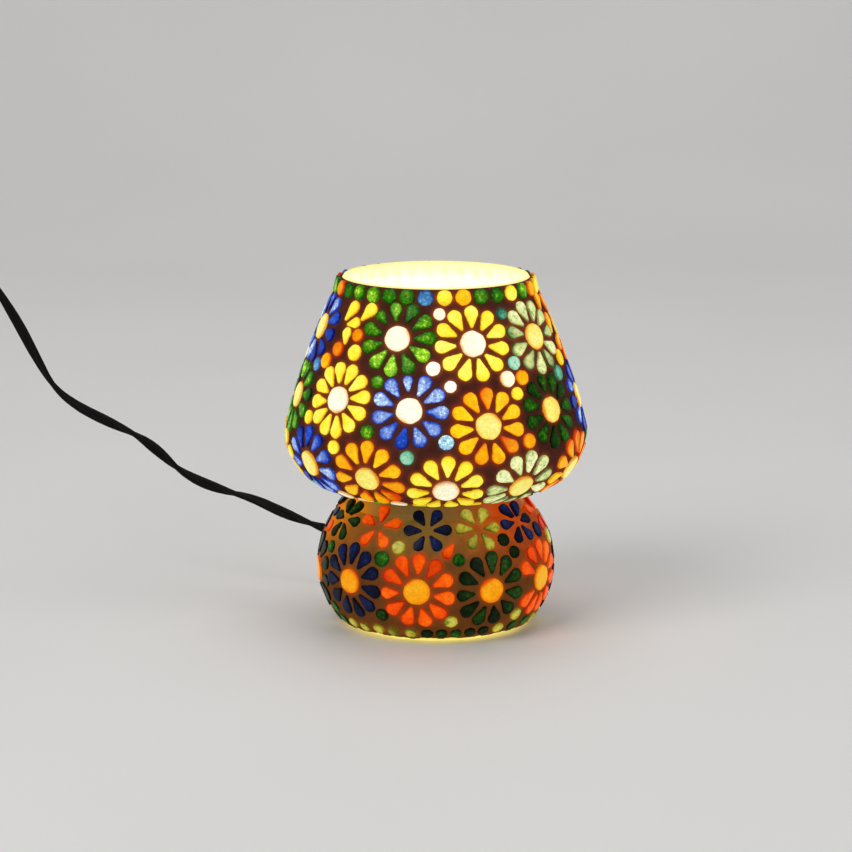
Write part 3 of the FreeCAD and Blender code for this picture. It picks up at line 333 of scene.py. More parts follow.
def make_flex_mesh(line):
    section = twin_section()
    verts = []
    travelled = 0.0
    for index, point in enumerate(line):
        before, after = line[max(index - 1, 0)], line[min(index + 1, len(line) - 1)]
        travelled += (point - line[max(index - 1, 0)]).length
        along = (after - before).normalized()
        wide = along.cross(Vector((0, 1, 0))).normalized()
        thin = along.cross(wide)
        turn = quarter_turns(travelled / MM) * math.pi / 2
        broad = wide * math.cos(turn) + thin * math.sin(turn)
        narrow = thin * math.cos(turn) - wide * math.sin(turn)
        for across, up in section:
            verts.append(point + (broad * across + narrow * up) * FLEX_CORE)
    faces = ring_faces(len(section), len(line))
    last = len(section) * (len(line) - 1)
    faces.append(tuple(range(len(section)))[::-1])
    faces.append(tuple(range(last, last + len(section))))
    piece = mesh_object("flex_twin", verts, faces)
    clean(piece)
    return piece


def make_plug_boot():
    """Strain relief: a slim cone with five soft grooves, on the flex's end."""
    low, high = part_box("plug_boot")
    middle = (low + high) / 2
    tall = high.z - low.z
    top_radius = (high.x - low.x) / 2
    foot_radius = FLEX_CORE * 2 + 0.6 * MM
    steps = 60
    outline = [(0, low.z)]
    for index in range(steps + 1):
        share = index / steps
        radius = foot_radius + (top_radius - foot_radius) * share
        if 0.12 < share < 0.82:
            radius -= 0.55 * MM * max(0.0, math.sin((share - 0.12) / 0.7 * 5 * 2 * math.pi)) ** 0.6
        outline.append((radius, low.z + tall * share))
    outline.append((0, high.z))
    return turned("plug_boot_ribbed", outline, 48, (middle.x, middle.y))


def make_plug_shell():
    """Moulded plug: waisted outline, rounded edges, finger ridges down both sides."""
    low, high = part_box("plug_body")
    middle = (low + high) / 2
    half_width, half_depth = (high.x - low.x) / 2, (high.y - low.y) / 2
    tall = high.z - low.z
    columns, rows = 72, 73
    verts = []
    for row in range(rows):
        share = row / (rows - 1)
        ends = min(share, 1 - share) * tall
        rounding = 3.0 * MM
        inset = rounding - math.sqrt(max(0.0, rounding**2 - (rounding - min(ends, rounding)) ** 2))
        outer = float(np.interp(share, [0, 0.3, 0.8, 1], [0.6, 1, 1, 0.6])) * half_width
        for column in range(columns):
            angle = 2 * math.pi * column / columns
            cosine, sine = math.cos(angle), math.sin(angle)
            reach = (abs(cosine) ** 5 + abs(sine) ** 5) ** -0.2
            ridge = 0.0
            if 0.34 < share < 0.76 and abs(cosine) > 0.8:
                ridge = 0.35 * MM * (0.5 - 0.5 * math.cos((share - 0.34) / 0.42 * 6 * 2 * math.pi))
            across = (outer - inset - ridge) * reach * cosine
            deep = (half_depth - inset) * reach * sine
            verts.append((middle.x + across, middle.y + deep, low.z + tall * share))
    faces = ring_faces(columns, rows)
    faces.append(tuple(range(columns))[::-1])
    faces.append(tuple(range(columns * (rows - 1), columns * rows)))
    piece = mesh_object("plug_shell", verts, faces)
    clean(piece)
    return piece


def make_cord():
    line = route_line("flex_route", FLEX_ROUTE)
    black = moulded("flex_sheath", (0.003, 0.0024, 0.0022), 0.55)
    plug_black = moulded("plug_plastic", (0.013, 0.012, 0.012), 0.5, 1400.0)
    flex = finish_piece(make_flex_mesh(line), "lamp", "pvc_black", black, "flex")
    boot = finish_piece(make_plug_boot(), "lamp", "plug_plastic", plug_black, "plug_boot")
    shell = finish_piece(make_plug_shell(), "lamp", "plug_plastic", plug_black, "plug_body")
    give(nodes["inner_flex"], black)


make_cord()


# ---------------------------------------------------------------- chips

random.seed(7)
OUTLINE_POINTS = 28
CHIP_RINGS = [
    # share of the outline's size, height against the CAD chip's top in millimetres
    (1.00, -1.80),
    (1.00, -0.36),
    (0.995, -0.19),
    (0.98, -0.08),
    (0.94, -0.01),
    (0.76, 0.03),
    (0.48, 0.06),
    (0.24, 0.07),
]
CHIP_CROWN = 0.08
CHIP_SPREAD = 1.025  # the ground glass edge spreads a little over the grout
CHIP_HEAT, EDGE_DIM = 0.60, 0.42  # how lit a chip is from 0 to 1, and how much less at its edge
# Painted shade on the chips' sides: the share of a chip's light that they get.
SIDE_LIGHT = 0.45

# Colour of the light in a chip: at its edge, in its body, where it is brightest (8-bit display values).
DOME_LIGHT = {
    "yellow": ((240, 166, 20), (255, 242, 52), (255, 252, 124)),
    "cream": ((244, 166, 70), (255, 252, 214), (255, 255, 246)),
    "orange": ((216, 62, 4), (252, 170, 8), (254, 220, 26)),
    "green": ((8, 34, 1), (42, 116, 4), (148, 214, 44)),
    "dark_green": ((4, 17, 1), (16, 56, 2), (48, 112, 12)),
    "blue": ((10, 16, 92), (32, 74, 196), (192, 222, 254)),
    "mint": ((40, 78, 28), (226, 236, 152), (252, 253, 196)),
    "discs_yellow": ((244, 148, 36), (250, 236, 108), (255, 250, 182)),
    "dots_mint": ((20, 86, 66), (112, 196, 158), (206, 242, 208)),
    "dots_blue": ((26, 56, 120), (80, 142, 200), (170, 212, 234)),
}
BOWL_LIGHT = {
    "amber": ((230, 84, 2), (252, 162, 8), (254, 200, 48)),
    "red_orange": ((180, 20, 1), (254, 84, 2), (255, 124, 14)),
    "navy": ((3, 4, 12), (9, 14, 40), (28, 42, 92)),
    "dark_green": ((3, 9, 1), (10, 29, 2), (32, 74, 8)),
    "green": ((5, 28, 4), (16, 70, 8), (66, 136, 34)),
    "mint": ((92, 88, 18), (188, 176, 52), (226, 220, 116)),
}
VEINS = {
    # the light's share in the veins and in the flaws, how fine they are, how much the chips differ,
    # how narrow the dim edge is
    "yellow": ((0.97, 0.90, 0.66), (1.0, 1.04, 1.7), 380.0, 0.05, 12),
    "cream": ((1.0, 0.96, 0.84), (1.0, 1.02, 1.1), 380.0, 0.05, 12),
    "amber": ((0.94, 0.80, 0.60), (1.02, 1.15, 1.8), 380.0, 0.08, 12),
    "orange": ((0.94, 0.72, 0.50), (1.03, 1.22, 1.8), 340.0, 0.17, 10),
    "red_orange": ((0.84, 0.56, 0.50), (1.03, 1.40, 1.9), 340.0, 0.14, 8),
    "green": ((0.16, 0.26, 0.16), (4.2, 2.6, 4.2), 600.0, 0.18, 4),
    "dark_green": ((0.20, 0.28, 0.20), (3.4, 2.8, 2.4), 600.0, 0.14, 4),
    "blue": ((0.30, 0.38, 0.60), (3.2, 2.9, 1.5), 700.0, 0.20, 5),
    "navy": ((0.34, 0.38, 0.50), (2.8, 2.6, 2.0), 560.0, 0.12, 5),
    "mint": ((0.20, 0.42, 0.26), (1.30, 1.14, 1.5), 480.0, 0.22, 5),
}


class Chip:
    """One glass chip of the CAD mosaic: its flat outline, where it sits and which way it faces."""

    def __init__(self, corners, normal):
        self.normal = normal
        self.top = max(normal.dot(p) for p in corners)
        rim = [p for p in corners if normal.dot(p) > self.top - 0.05 * MM]
        self.centre = sum(rim, Vector()) / len(rim)
        self.up = (Vector((0, 0, 1)) - normal * normal.z).normalized()
        self.across = self.up.cross(normal)
        flat = [((p - self.centre).dot(self.across), (p - self.centre).dot(self.up)) for p in rim]
        flat.sort(key=lambda p: math.atan2(p[1], p[0]))
        self.outline = resample(flat, OUTLINE_POINTS)
        self.centre += self.across * self.outline[:, 0].mean() + self.up * self.outline[:, 1].mean()
        self.outline -= self.outline.mean(axis=0)
        self.reach = float(np.hypot(*self.outline.T).max())

    def point(self, across, up, out):
        return self.centre + self.across * across + self.up * up + self.normal * out

    def flatten(self, points):
        """Points given in this chip's plane: across, up, out."""
        axes = np.array([self.across, self.up, self.normal])
        return (points - np.array(self.centre)) @ axes.T


def resample(points, count):
    """Evenly spaced points along a closed outline."""
    closed = np.array(points + points[:1])
    lengths = np.concatenate([[0], np.cumsum(np.hypot(*np.diff(closed, axis=0).T))])
    wanted = np.arange(count) * lengths[-1] / count
    return np.stack([np.interp(wanted, lengths, closed[:, axis]) for axis in (0, 1)], axis=1)


def islands(node):
    """The separate solids of a CAD node, as (corners, largest outward face normal)."""
    work = bmesh.new()
    work.from_mesh(node.data)
    bmesh.ops.remove_doubles(work, verts=work.verts, dist=1e-6)
    seen = set()
    found = []
    for seed in work.faces:
        if seed.index in seen:
            continue
        seen.add(seed.index)
        stack, faces = [seed], []
        while stack:
            face = stack.pop()
            faces.append(face)
            for edge in face.edges:
                for other in edge.link_faces:
                    if other.index not in seen:
                        seen.add(other.index)
                        stack.append(other)
        corners = {v.index: v.co.copy() for face in faces for v in face.verts}
        areas = {}
        for face in faces:
            key = tuple(round(c, 2) for c in face.normal)
            area, total = areas.get(key, (0.0, Vector()))
            areas[key] = (area + face.calc_area(), total + face.normal * face.calc_area())
        normal = max(areas.values(), key=lambda entry: entry[0])[1].normalized()
        middle = sum(corners.values(), Vector()) / len(corners)
        if normal.x * middle.x + normal.y * middle.y < 0:
            normal = -normal
        found.append(Chip(list(corners.values()), normal))
    work.free()
    return found


def blend_light(stops, heat):
    """Colour between edge, body and brightest for a heat from 0 to 1."""
    edge, body, bright = (np.array(linear(stop)) for stop in stops)
    if heat < 0.5:
        return edge + (body - edge) * heat * 2
    return body + (bright - body) * (heat - 0.5) * 2


def store_light(piece, lights):
    """Keep one linear colour per vertex for the material to read."""
    colours = piece.data.attributes.new("light", "FLOAT_COLOR", "POINT")
    values = np.ones((len(lights), 4), np.float32)
    values[:, :3] = lights
    colours.data.foreach_set("color", values.ravel())


def lamp_level(place):
    """How strongly the bulb lights the wall at a point: most beside the globe, least at the bowl's foot."""
    height = place.z / MM
    heights = [0, 30, 62, 78, 100, 140, 176]
    levels = [0.95, 0.94, 0.82, 0.94, 1.0, 1.03, 1.0]
    return float(np.interp(height, heights, levels))


# The bulb's glare in the wall: degrees round from the front, height, half width, half height, strength.
GLARE = [(0, 133, 21, 19, 0.30), (118, 128, 22, 19, 0.22), (238, 130, 22, 19, 0.22)]


def glare(place):
    """How much more light the bulb throws straight through the wall at a point."""
    degrees = math.degrees(math.atan2(place.x, -place.y))
    height = place.z / MM
    return sum(strength * spot_weight(degrees, height, *spot) for *spot, strength in GLARE)


def spot_weight(degrees, heights, middle, height, wide, tall):
    """How strongly a soft spot on the lamp's side is felt, its place and size in degrees and millimetres."""
    across = (degrees - middle + 180) % 360 - 180
    return np.exp(-((across / wide) ** 2) - ((heights - height) / tall) ** 2)


chip_materials = {}


def lay_chips(node_name, palette, colour):
    """Cut-glass chips with nipped, uneven outlines and worn edges in place of the plain CAD ones."""
    chips = islands(nodes[node_name])
    dark, bright, scale, spread, edge = VEINS[colour]
    verts, faces, lights = [], [], []
    for chip in chips:
        waves = [(n, random.uniform(0, 2 * math.pi), random.uniform(0.004, 0.022)) for n in (2, 3, 5, 8)]
        # Random tone of the chip plus the bulb's painted glare where the chip sits.
        tone_and_glare = random.gauss(0, spread) + glare(chip.centre)
        # Painted light across each chip: brighter towards one random side and darker towards the other, as
        # light bends through the glass.
        bright_side_angle = random.uniform(0, 2 * math.pi)
        bright_side_strength = random.uniform(0.04, 0.22)
        # Disc chips are painted darker in an arc along the rim on their bright side.
        rim_arc_depth = random.uniform(0.1, 0.9) if "discs" in node_name else 0.0
        # The chip's painted light at middle heat, which lights the grout beside it and tints the inner wall's
        # painted shade.
        chip.colour = blend_light(palette, 0.6)
        first = len(verts)
        level = lamp_level(chip.centre)
        for share, height in CHIP_RINGS:
            for x, y in chip.outline:
                angle = math.atan2(y, x)
                size = share * (CHIP_SPREAD + sum(a * math.sin(n * angle + p) for n, p, a in waves))
                verts.append(chip.point(x * size, y * size, height * MM))
                bright_side_light = math.cos(angle - bright_side_angle) * share * bright_side_strength
                arc = rim_arc_depth * share**5 * max(0.0, math.cos(angle - bright_side_angle)) ** 6
                heat = CHIP_HEAT + tone_and_glare - EDGE_DIM * share**edge + bright_side_light - arc
                # The chip's sides are painted in shade.
                side = SIDE_LIGHT if height < -0.5 else 1.0
                lights.append(blend_light(palette, min(max(heat, 0), 1)) * level * side)
        verts.append(chip.point(0, 0, CHIP_CROWN * MM))
        lights.append(blend_light(palette, min(max(CHIP_HEAT + tone_and_glare, 0), 1)) * level)
        faces += ring_faces(OUTLINE_POINTS, len(CHIP_RINGS), first)
        crown = len(verts) - 1
        inner = crown - OUTLINE_POINTS
        faces.append(tuple(range(first, first + OUTLINE_POINTS))[::-1])
        for index in range(OUTLINE_POINTS):
            faces.append((inner + index, inner + (index + 1) % OUTLINE_POINTS, crown))
    piece = mesh_object(node_name + "_cut", verts, faces)
    store_light(piece, lights)
    if colour not in chip_materials:
        chip_materials[colour] = chip_glass("glass_" + colour, dark, bright, scale)
    finish_piece(piece, "lamp", "chip_" + colour, chip_materials[colour], node_name)
    return chips


def make_mosaic(part, palettes):
    chips = []
    for name in sorted(nodes):
        pieces = name.split("_", 2)
        if pieces[0] == part and pieces[1] in ("discs", "dots", "petals"):
            palette = palettes.get(f"{pieces[1]}_{pieces[2]}", palettes[pieces[2]])
            chips += lay_chips(name, palette, pieces[2])
    return chips


dome_chips = make_mosaic("dome", DOME_LIGHT)
bowl_chips = make_mosaic("bowl", BOWL_LIGHT)


# ---------------------------------------------------------------- grout

GROUT_LEVEL = 1.40 * MM  # above the CAD bed's skin, between the chips
GROUT_COLUMNS = 500
GROUT_BACK = 0.85 * MM
GROUT_GRAIN = 0.035 * MM
BLEED_REACH = 0.8 * MM  # how far a chip's light runs into the grout
SWELL, SWELL_REACH = 0.20, 1.4 * MM
UNDER_CHIP = 0.25 * MM
RAGGED_WAVES = [(9, 1, 0.2), (23, 4, 0.22), (41, 2, 0.14)]  # waves round the edge, phase, millimetres


def wall_line(node_name, rows, inner=False):
    """Radius, height and outward slope along a turned CAD node's wall, evenly spaced from its top."""
    low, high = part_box(node_name)
    work = bmesh.new()
    work.from_mesh(nodes[node_name].data)
    tree = BVHTree.FromBMesh(work)
    work.free()
    margin = 0.02 * MM
    heights = np.linspace(high.z - margin, low.z + margin, 900)
    found = []
    for height in heights:
        start = Vector((0, 0, height)) if inner else Vector((0.2, 0, height))
        direction = Vector((1, 0, 0)) if inner else Vector((-1, 0, 0))
        hit = tree.ray_cast(start, direction)[0]
        if hit:
            found.append((hit.x, height))
    line = np.array(found)
    lengths = np.concatenate([[0], np.cumsum(np.hypot(*np.diff(line, axis=0).T))])
    wanted = np.linspace(0, lengths[-1], rows)
    radius, height = (np.interp(wanted, lengths, line[:, axis]) for axis in (0, 1))
    slope_r, slope_z = np.gradient(radius), np.gradient(height)
    size = np.hypot(slope_r, slope_z)
    return radius, height, -slope_z / size, slope_r / size


def outline_distance(chip, flat):
    """Signed distance of flattened points from a chip's convex outline, negative inside."""
    starts = chip.outline
    ends = np.roll(starts, -1, axis=0)
    edges = ends - starts
    sizes = np.maximum(np.hypot(*edges.T), 1e-9)
    offset = flat[:, None, :2] - starts[None]
    along = np.clip((offset * edges).sum(2) / sizes**2, 0, 1)
    nearest = offset - along[..., None] * edges
    gap = np.hypot(nearest[..., 0], nearest[..., 1]).min(axis=1)
    side = (edges[None, :, 0] * offset[..., 1] - edges[None, :, 1] * offset[..., 0]) / sizes
    inside = (side > 0).all(axis=1)
    return np.where(inside, -gap, gap)


def dome_shine(degrees, heights):
    """Light that comes through the dome's grout, which is thick and dark."""
    return np.tile(linear((39, 14, 6)), (len(degrees), 1))


def bowl_shine(degrees, heights):
    """Light that comes through the bowl's thin grout: brown low down, olive and orange under the dome."""
    shine = np.tile(linear((82, 42, 9)), (len(degrees), 1))
    spots = [
        # degrees round from the front, height, half width, half height, colour
        (-8, 60, 34, 16, (108, 84, 32)),
        (-80, 58, 26, 16, (212, 118, 14)),
        (46, 60, 26, 16, (180, 64, 6)),
        (95, 52, 22, 22, (186, 76, 22)),
        (150, 58, 34, 16, (122, 100, 50)),
        (210, 58, 28, 16, (196, 96, 28)),
    ]
    for middle, height, wide, tall, colour in spots:
        weight = spot_weight(degrees, heights, middle, height, wide, tall)[:, None]
        shine = shine * (1 - weight) + np.array(linear(colour)) * weight
    return shine


def make_grout(node_name, rows, chips, material, slot, shine, bleed, top_bare):
    """Grout pressed up between the chips: low beside the glass edges, swollen between, rough on top."""
    radius, height, out_r, out_z = wall_line(node_name, rows)
    angles = np.arange(GROUT_COLUMNS) * 2 * math.pi / GROUT_COLUMNS
    ring = np.stack([np.cos(angles), np.sin(angles)], axis=1)

    def swept(across, up):
        """One value of radius and height per row, swept round all the columns."""
        rise = np.broadcast_to(up[:, None, None], (rows, GROUT_COLUMNS, 1))
        return np.concatenate([across[:, None, None] * ring[None], rise], axis=2).reshape(-1, 3)

    skin, outward = swept(radius, height), swept(out_r, out_z)
    gap = np.full(len(skin), 9.0 * MM)
    degrees = np.degrees(np.arctan2(skin[:, 0], -skin[:, 1]))
    light = shine(degrees, skin[:, 2] / MM)
    for chip in chips:
        near = np.nonzero(((skin - np.array(chip.centre)) ** 2).sum(1) < (chip.reach + 4 * MM) ** 2)[0]
        if not len(near):
            continue
        distance = outline_distance(chip, chip.flatten(skin[near]))
        gap[near] = np.minimum(gap[near], distance)
        light[near] += np.exp(-np.maximum(distance, 0) / BLEED_REACH)[:, None] * chip.colour * bleed
    grain = np.random.default_rng(3).normal(0, GROUT_GRAIN, len(skin))
    swell = np.clip(gap / SWELL_REACH, 0, 1)
    lift = GROUT_LEVEL * (1 - SWELL + SWELL * swell) + grain
    lift = np.where(gap < -UNDER_CHIP, UNDER_CHIP, lift)
    foot_gap = (skin[:, 2] - skin[:, 2].min()) / MM
    ragged = sum(a * np.sin(np.radians(degrees) * n + p) for n, p, a in RAGGED_WAVES)
    kept = np.clip((foot_gap - 0.8 - ragged) / 0.5, 0, 1)
    lift = np.where(foot_gap < 2, (lift + GROUT_BACK) * kept - GROUT_BACK + 0.01 * MM, lift)
    top_gap = (skin[:, 2].max() - skin[:, 2]) / MM
    feathered = np.clip((top_gap - top_bare - ragged * top_bare) / 1.2, 0, 1)
    lift = np.where(top_gap < 4, (lift + GROUT_BACK) * feathered - GROUT_BACK + 0.01 * MM, lift)
    inner_rows = 12
    picks = np.linspace(rows - 1, 0, inner_rows).round().astype(int)
    back = (skin - outward * GROUT_BACK).reshape(rows, GROUT_COLUMNS, 3)[picks].reshape(-1, 3)
    verts = np.concatenate([skin + outward * lift[:, None], back])
    total_rows = rows + inner_rows
    faces = ring_faces(GROUT_COLUMNS, total_rows)
    last = (total_rows - 1) * GROUT_COLUMNS
    for column in range(GROUT_COLUMNS):
        ahead = (column + 1) % GROUT_COLUMNS
        faces.append((last + column, last + ahead, ahead, column))
    piece = mesh_object(node_name + "_pressed", verts, faces)
    store_light(piece, np.concatenate([light, np.zeros((len(back), 3))]))
    clean(piece, 1e-7)
    return finish_piece(piece, "lamp", slot, material, node_name)


dome_grout = grout("dome_bed", (0.030, 0.008, 0.006), (0.062, 0.017, 0.012))
bowl_grout = grout("bowl_bed", (0.036, 0.015, 0.005), (0.066, 0.027, 0.009))
make_grout("dome_grout", 165, dome_chips, dome_grout, "dome_grout", dome_shine, (0.26, 0.05, 0.02), 0.1)
make_grout("bowl_grout", 110, bowl_chips, bowl_grout, "bowl_grout", bowl_shine, (0.22, 0.07, 0.03), 0.6)


# ---------------------------------------------------------------- bare glass, bulb and holder


GLASS_COLUMNS = 240
CABLE_HOLE = (4.5, (0.8523, -0.4921, -0.1772))  # radius in millimetres, direction inwards
CHIP_SHADE_TINT, CHIP_SHADE_STRENGTH = np.array((0.9, 0.95, 0.3)), 0.42  # painted shade of the chips on the inner wall, tinted by their colour
UNDERSIDE = [(27.0, 0.0), (13.5, 1.0), (0.0, 2.0), (0.0, 5.0), (13.5, 4.0), (27.0, 3.0)]


def glass_material():
    """Milky blown glass that the bulb lights from inside, with faint swirls and seeds."""
    gloss = {"Roughness": 0.4, "Specular_IOR_Level": 0.15, "Coat_Weight": 0.1, "Coat_Roughness": 0.1}
    paint = Paint("milky_glass", Emission_Strength=1.0, **gloss)
    swirls = paint.ramp(paint.noise(70.0, detail=4.0), [(0.3, grey(0.90)), (0.7, grey(1.06))])
    seeds = paint.ramp(paint.noise(900.0, detail=2.0), [(0.62, grey(1.0)), (0.72, grey(1.12))])
    lit = paint.multiply(paint.multiply(light_attribute(paint), swirls), seeds)
    paint.link(lit, paint.shader.inputs["Emission Color"])
    # The base colour is the painted light dimmed by the milky tint, so it too carries the painted light.
    milk = paint.ramp(paint.noise(40.0), [(0.3, (0.16, 0.13, 0.08)), (0.7, (0.21, 0.17, 0.11))])
    paint.link(paint.multiply(light_attribute(paint), milk), paint.shader.inputs["Base Color"])
    paint.bump(paint.noise(90.0, detail=2.0), 0.12, 0.0008)
    return paint.material


def outside_light(degrees, heights):
    """Light of the bare outside: cream lip, olive to orange waist, bright foot line."""
    stops = [0, 2.6, 5, 40, 60, 72, 90, 172, 176]
    colours = [(246, 234, 128), (240, 216, 92), (184, 122, 34), (106, 58, 14), (112, 86, 36), (96, 66, 22)]
    colours += [(160, 70, 20), (250, 214, 110), (254, 240, 158)]
    table = np.array([linear(colour) for colour in colours])
    light = np.stack([np.interp(heights, stops, table[:, channel]) for channel in range(3)], axis=1)
    waist = [(-72, (226, 132, 18)), (48, (180, 62, 6)), (105, (196, 84, 24)), (215, (206, 104, 30))]
    for middle, colour in waist:
        weight = spot_weight(degrees, heights, middle, 64, 24, 12)[:, None]
        light = light * (1 - weight) + np.array(linear(colour)) * weight
    return light


def inside_light(points, heights):
    """Light on the inner wall: near white beside the bulb, with painted shade where the chips sit, tinted by
    their colour.
    """
    stops = [0, 40, 62, 80, 110, 140, 168, 176]
    colours = [(150, 96, 36), (170, 110, 44), (190, 132, 60), (250, 220, 140)]
    colours += [(255, 255, 248), (255, 255, 248), (255, 255, 244), (254, 244, 168)]
    table = np.array([linear(colour) for colour in colours])
    light = np.stack([np.interp(heights, stops, table[:, channel]) for channel in range(3)], axis=1)
    for chip in dome_chips + bowl_chips:
        near = np.nonzero(((points - np.array(chip.centre)) ** 2).sum(1) < (chip.reach + 7 * MM) ** 2)[0]
        if not len(near):
            continue
        inside = np.clip(-outline_distance(chip, chip.flatten(points[near])) / (3.0 * MM), 0, 1)[:, None]
        tint = (chip.colour / chip.colour.max() + CHIP_SHADE_TINT) / 2
        light[near] *= 1 - inside * (1 - tint) * CHIP_SHADE_STRENGTH
    return light


def make_glass():
    """The blown body as one fine turned wall with its cable hole."""
    out_radius, out_height, _, _ = wall_line("glass_body", 90)
    in_radius, in_height, _, _ = wall_line("glass_body", 120, inner=True)
    outline = list(zip(out_radius, out_height))
    outline += [(radius * MM, height * MM) for radius, height in UNDERSIDE]
    outline += list(zip(in_radius, in_height))[::-1]
    piece = turned("glass_blown", outline + outline[:1], GLASS_COLUMNS)
    radius, inwards = CABLE_HOLE
    bpy.ops.mesh.primitive_cylinder_add(vertices=48, radius=radius * MM, depth=24 * MM)
    drill = bpy.context.active_object
    drill.location = Vector(FLEX_EXIT) * MM
    drill.rotation_euler = Vector(inwards).to_track_quat("Z", "Y").to_euler()
    cut = piece.modifiers.new("hole", "BOOLEAN")
    cut.operation, cut.solver, cut.object = "DIFFERENCE", "EXACT", drill
    bpy.context.view_layer.update()
    drilled = bpy.data.meshes.new_from_object(piece.evaluated_get(bpy.context.evaluated_depsgraph_get()))
    piece.modifiers.clear()
    bpy.data.objects.remove(drill)
    piece.data = drilled
    clean(piece)
    points = np.array([vertex.co for vertex in piece.data.vertices])
    heights = points[:, 2] / MM
    reach = np.hypot(points[:, 0], points[:, 1])
    depth = (np.interp(points[:, 2], out_height[::-1], out_radius[::-1]) - reach) / MM
    degrees = np.degrees(np.arctan2(points[:, 0], -points[:, 1]))
    share = np.clip((depth - 1.2) / 1.0, 0, 1)[:, None] * (heights > 2.5)[:, None]
    light = outside_light(degrees, heights) * (1 - share) + inside_light(points, heights) * share
    store_light(piece, light)
    finish_piece(piece, "lamp", "blown_glass", glass_material(), "glass_body")


def bulb_glow():
    """Frosted bulb, lit."""
    paint = Paint("bulb_frosted", Roughness=0.3, Coat_Weight=0.5, Emission_Strength=0.95)
    mottle = paint.noise(60.0, detail=3.0)
    warm = paint.ramp(mottle, [(0.3, (1.0, 0.74, 0.40)), (0.7, (1.0, 0.84, 0.56))])
    paint.link(warm, paint.shader.inputs["Emission Color"])
    frost = paint.ramp(mottle, [(0.3, (0.86, 0.82, 0.74)), (0.7, (0.94, 0.92, 0.86))])
    paint.link(frost, paint.shader.inputs["Base Color"])
    paint.bump(paint.noise(1800.0), 0.1, 0.00005)
    return paint.material


def glazed(name, colour, roughness):
    paint = Paint(name, Roughness=roughness, Coat_Weight=0.6)
    specks = paint.noise(300.0, detail=4.0)
    shade = tuple(c * 0.9 for c in colour)
    paint.link(paint.ramp(specks, [(0.3, shade), (0.7, colour)]), paint.shader.inputs["Base Color"])
    paint.bump(paint.noise(160.0), 0.1, 0.0002)
    return paint.material


def make_bulb_cap():
    """Screw cap: rolled thread with two and a half turns between a plain shoulder and a skirt."""
    low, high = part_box("bulb_cap")
    neck_radius = (high.x - low.x) / 2
    thread_depth, pitch = 0.42 * MM, 2.8 * MM
    shell = 0.3 * MM
    columns, rows = 96, 110
    outer, inner = [], []
    for row in range(rows):
        share = row / (rows - 1)
        height = low.z + (high.z - low.z) * share
        plain = float(np.interp(share, [0, 0.05, 0.77, 0.90, 1], [5.7, 6.4, 6.4, 8.2, 8.4])) * MM
        plain = min(plain, neck_radius)
        rolled = float(np.interp(share, [0.06, 0.14, 0.68, 0.76], [0, 1, 1, 0]))
        for column in range(columns):
            angle = 2 * math.pi * column / columns
            wave = math.cos(2 * math.pi * (height - low.z) / pitch - angle)
            radius = plain + rolled * thread_depth * wave
            outer.append((radius * math.cos(angle), radius * math.sin(angle), height))
            bare = radius - shell
            inner.append((bare * math.cos(angle), bare * math.sin(angle), height))
    verts = list(outer)
    for row in reversed(range(rows)):
        verts += inner[row * columns : (row + 1) * columns]
    faces = ring_faces(columns, rows * 2)
    last = (rows * 2 - 1) * columns
    for column in range(columns):
        ahead = (column + 1) % columns
        faces.append((last + column, last + ahead, ahead, column))
    piece = mesh_object("bulb_cap_threaded", verts, faces)
    clean(piece)
    return piece


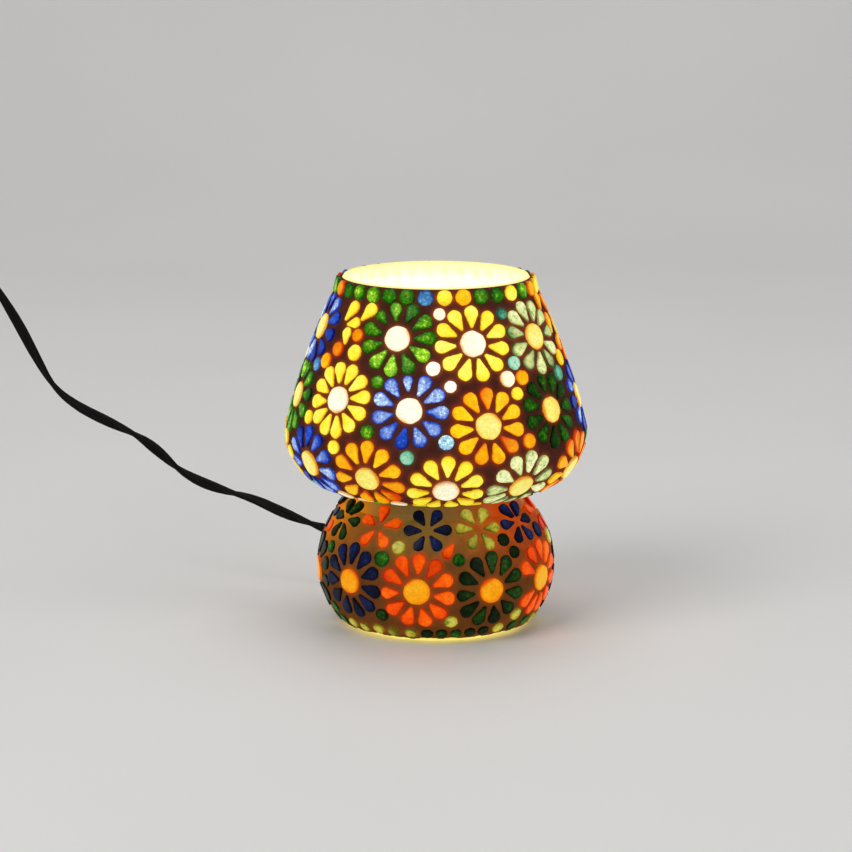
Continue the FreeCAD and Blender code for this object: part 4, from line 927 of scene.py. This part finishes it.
def dress_frame():
    bakelite = moulded("black_bakelite", (0.018, 0.015, 0.013), 0.28, 500.0)
    rubber = moulded("rubber_black", (0.014, 0.013, 0.013), 0.72, 1600.0)
    brass = metal("brass", (0.80, 0.58, 0.24), 0.26)
    steel = metal("steel", (0.60, 0.60, 0.58), 0.34, (14.0, 1.0, 1.0))
    tungsten = metal("tungsten", (0.46, 0.44, 0.42), 0.4)
    cap_metal = metal("bulb_metal", (0.74, 0.74, 0.73), 0.28)
    looks = {
        "bulb_glass": bulb_glow(),
        "bulb_insulator": glazed("black_glass", (0.02, 0.018, 0.02), 0.1),
        "bulb_tip_contact": brass,
        "bulb_stem": glazed("stem_glass", (0.8, 0.86, 0.84), 0.08),
        "bulb_support_wires": tungsten,
        "bulb_filament": tungsten,
        "holder_cap": bakelite,
        "holder_skirt": bakelite,
        "shade_rings": bakelite,
        "cord_grip": bakelite,
        "holder_core": glazed("porcelain", (0.84, 0.82, 0.77), 0.18),
        "thread_sleeve": brass,
        "centre_contact": brass,
        "terminal_screws": brass,
        "plug_pins": brass,
        "holder_plate": steel,
        "cable_grommet": rubber,
        "core_wires": moulded("core_insulation", (0.16, 0.07, 0.03), 0.4),
    }
    for name, material in looks.items():
        give(nodes[name], material)
    finish_piece(make_bulb_cap(), "bulb", "bulb_metal", cap_metal, "bulb_cap")
    make_glass()


dress_frame()


# ---------------------------------------------------------------- stage


def make_stage():
    """Pale floor that rises into a backdrop behind the lamp."""
    sweep = [(-4.0, 0.0), (1.2, 0.0)]
    bend, steps = 1.0, 16
    for index in range(1, steps + 1):
        angle = math.pi / 2 * index / steps
        sweep.append((1.2 + bend * math.sin(angle), bend - bend * math.cos(angle)))
    sweep.append((2.2, 4.0))
    verts = [(x, y, z) for y, z in sweep for x in (-4.0, 4.0)]
    faces = [(2 * i, 2 * i + 1, 2 * i + 3, 2 * i + 2) for i in range(len(sweep) - 1)]
    floor = mesh_object("floor", verts, faces)
    paint = Paint("floor", Roughness=0.62)
    cloudy = paint.noise(3.0, detail=2.0)
    stops = [(0.3, (0.80, 0.785, 0.76)), (0.7, (0.83, 0.815, 0.79))]
    paint.link(paint.ramp(cloudy, stops), paint.shader.inputs["Base Color"])
    give(floor, paint.material)


def area_light(name, place, size, watts, colour=(1, 1, 1)):
    light = bpy.data.lights.new(name, "AREA")
    light.shape = "SQUARE"
    light.size = size
    light.energy = watts
    light.color = colour
    lamp = bpy.data.objects.new(name, light)
    scene.collection.objects.link(lamp)
    lamp.location = place
    lamp.rotation_euler = (AIM - Vector(place)).to_track_quat("-Z", "Y").to_euler()


def make_lights():
    area_light("key", (-1.3, -1.5, 1.7), 1.4, 26)
    area_light("fill", (1.7, -1.2, 1.0), 1.6, 10)
    area_light("top", (0.1, 0.5, 2.2), 1.8, 14)
    world = bpy.data.worlds.new("studio")
    world.use_nodes = True
    world.node_tree.nodes["Background"].inputs["Color"].default_value = (0.9, 0.93, 1.0, 1)
    world.node_tree.nodes["Background"].inputs["Strength"].default_value = 0.28
    scene.world = world
    scene.view_settings.view_transform = "Standard"


make_stage()
make_lights()
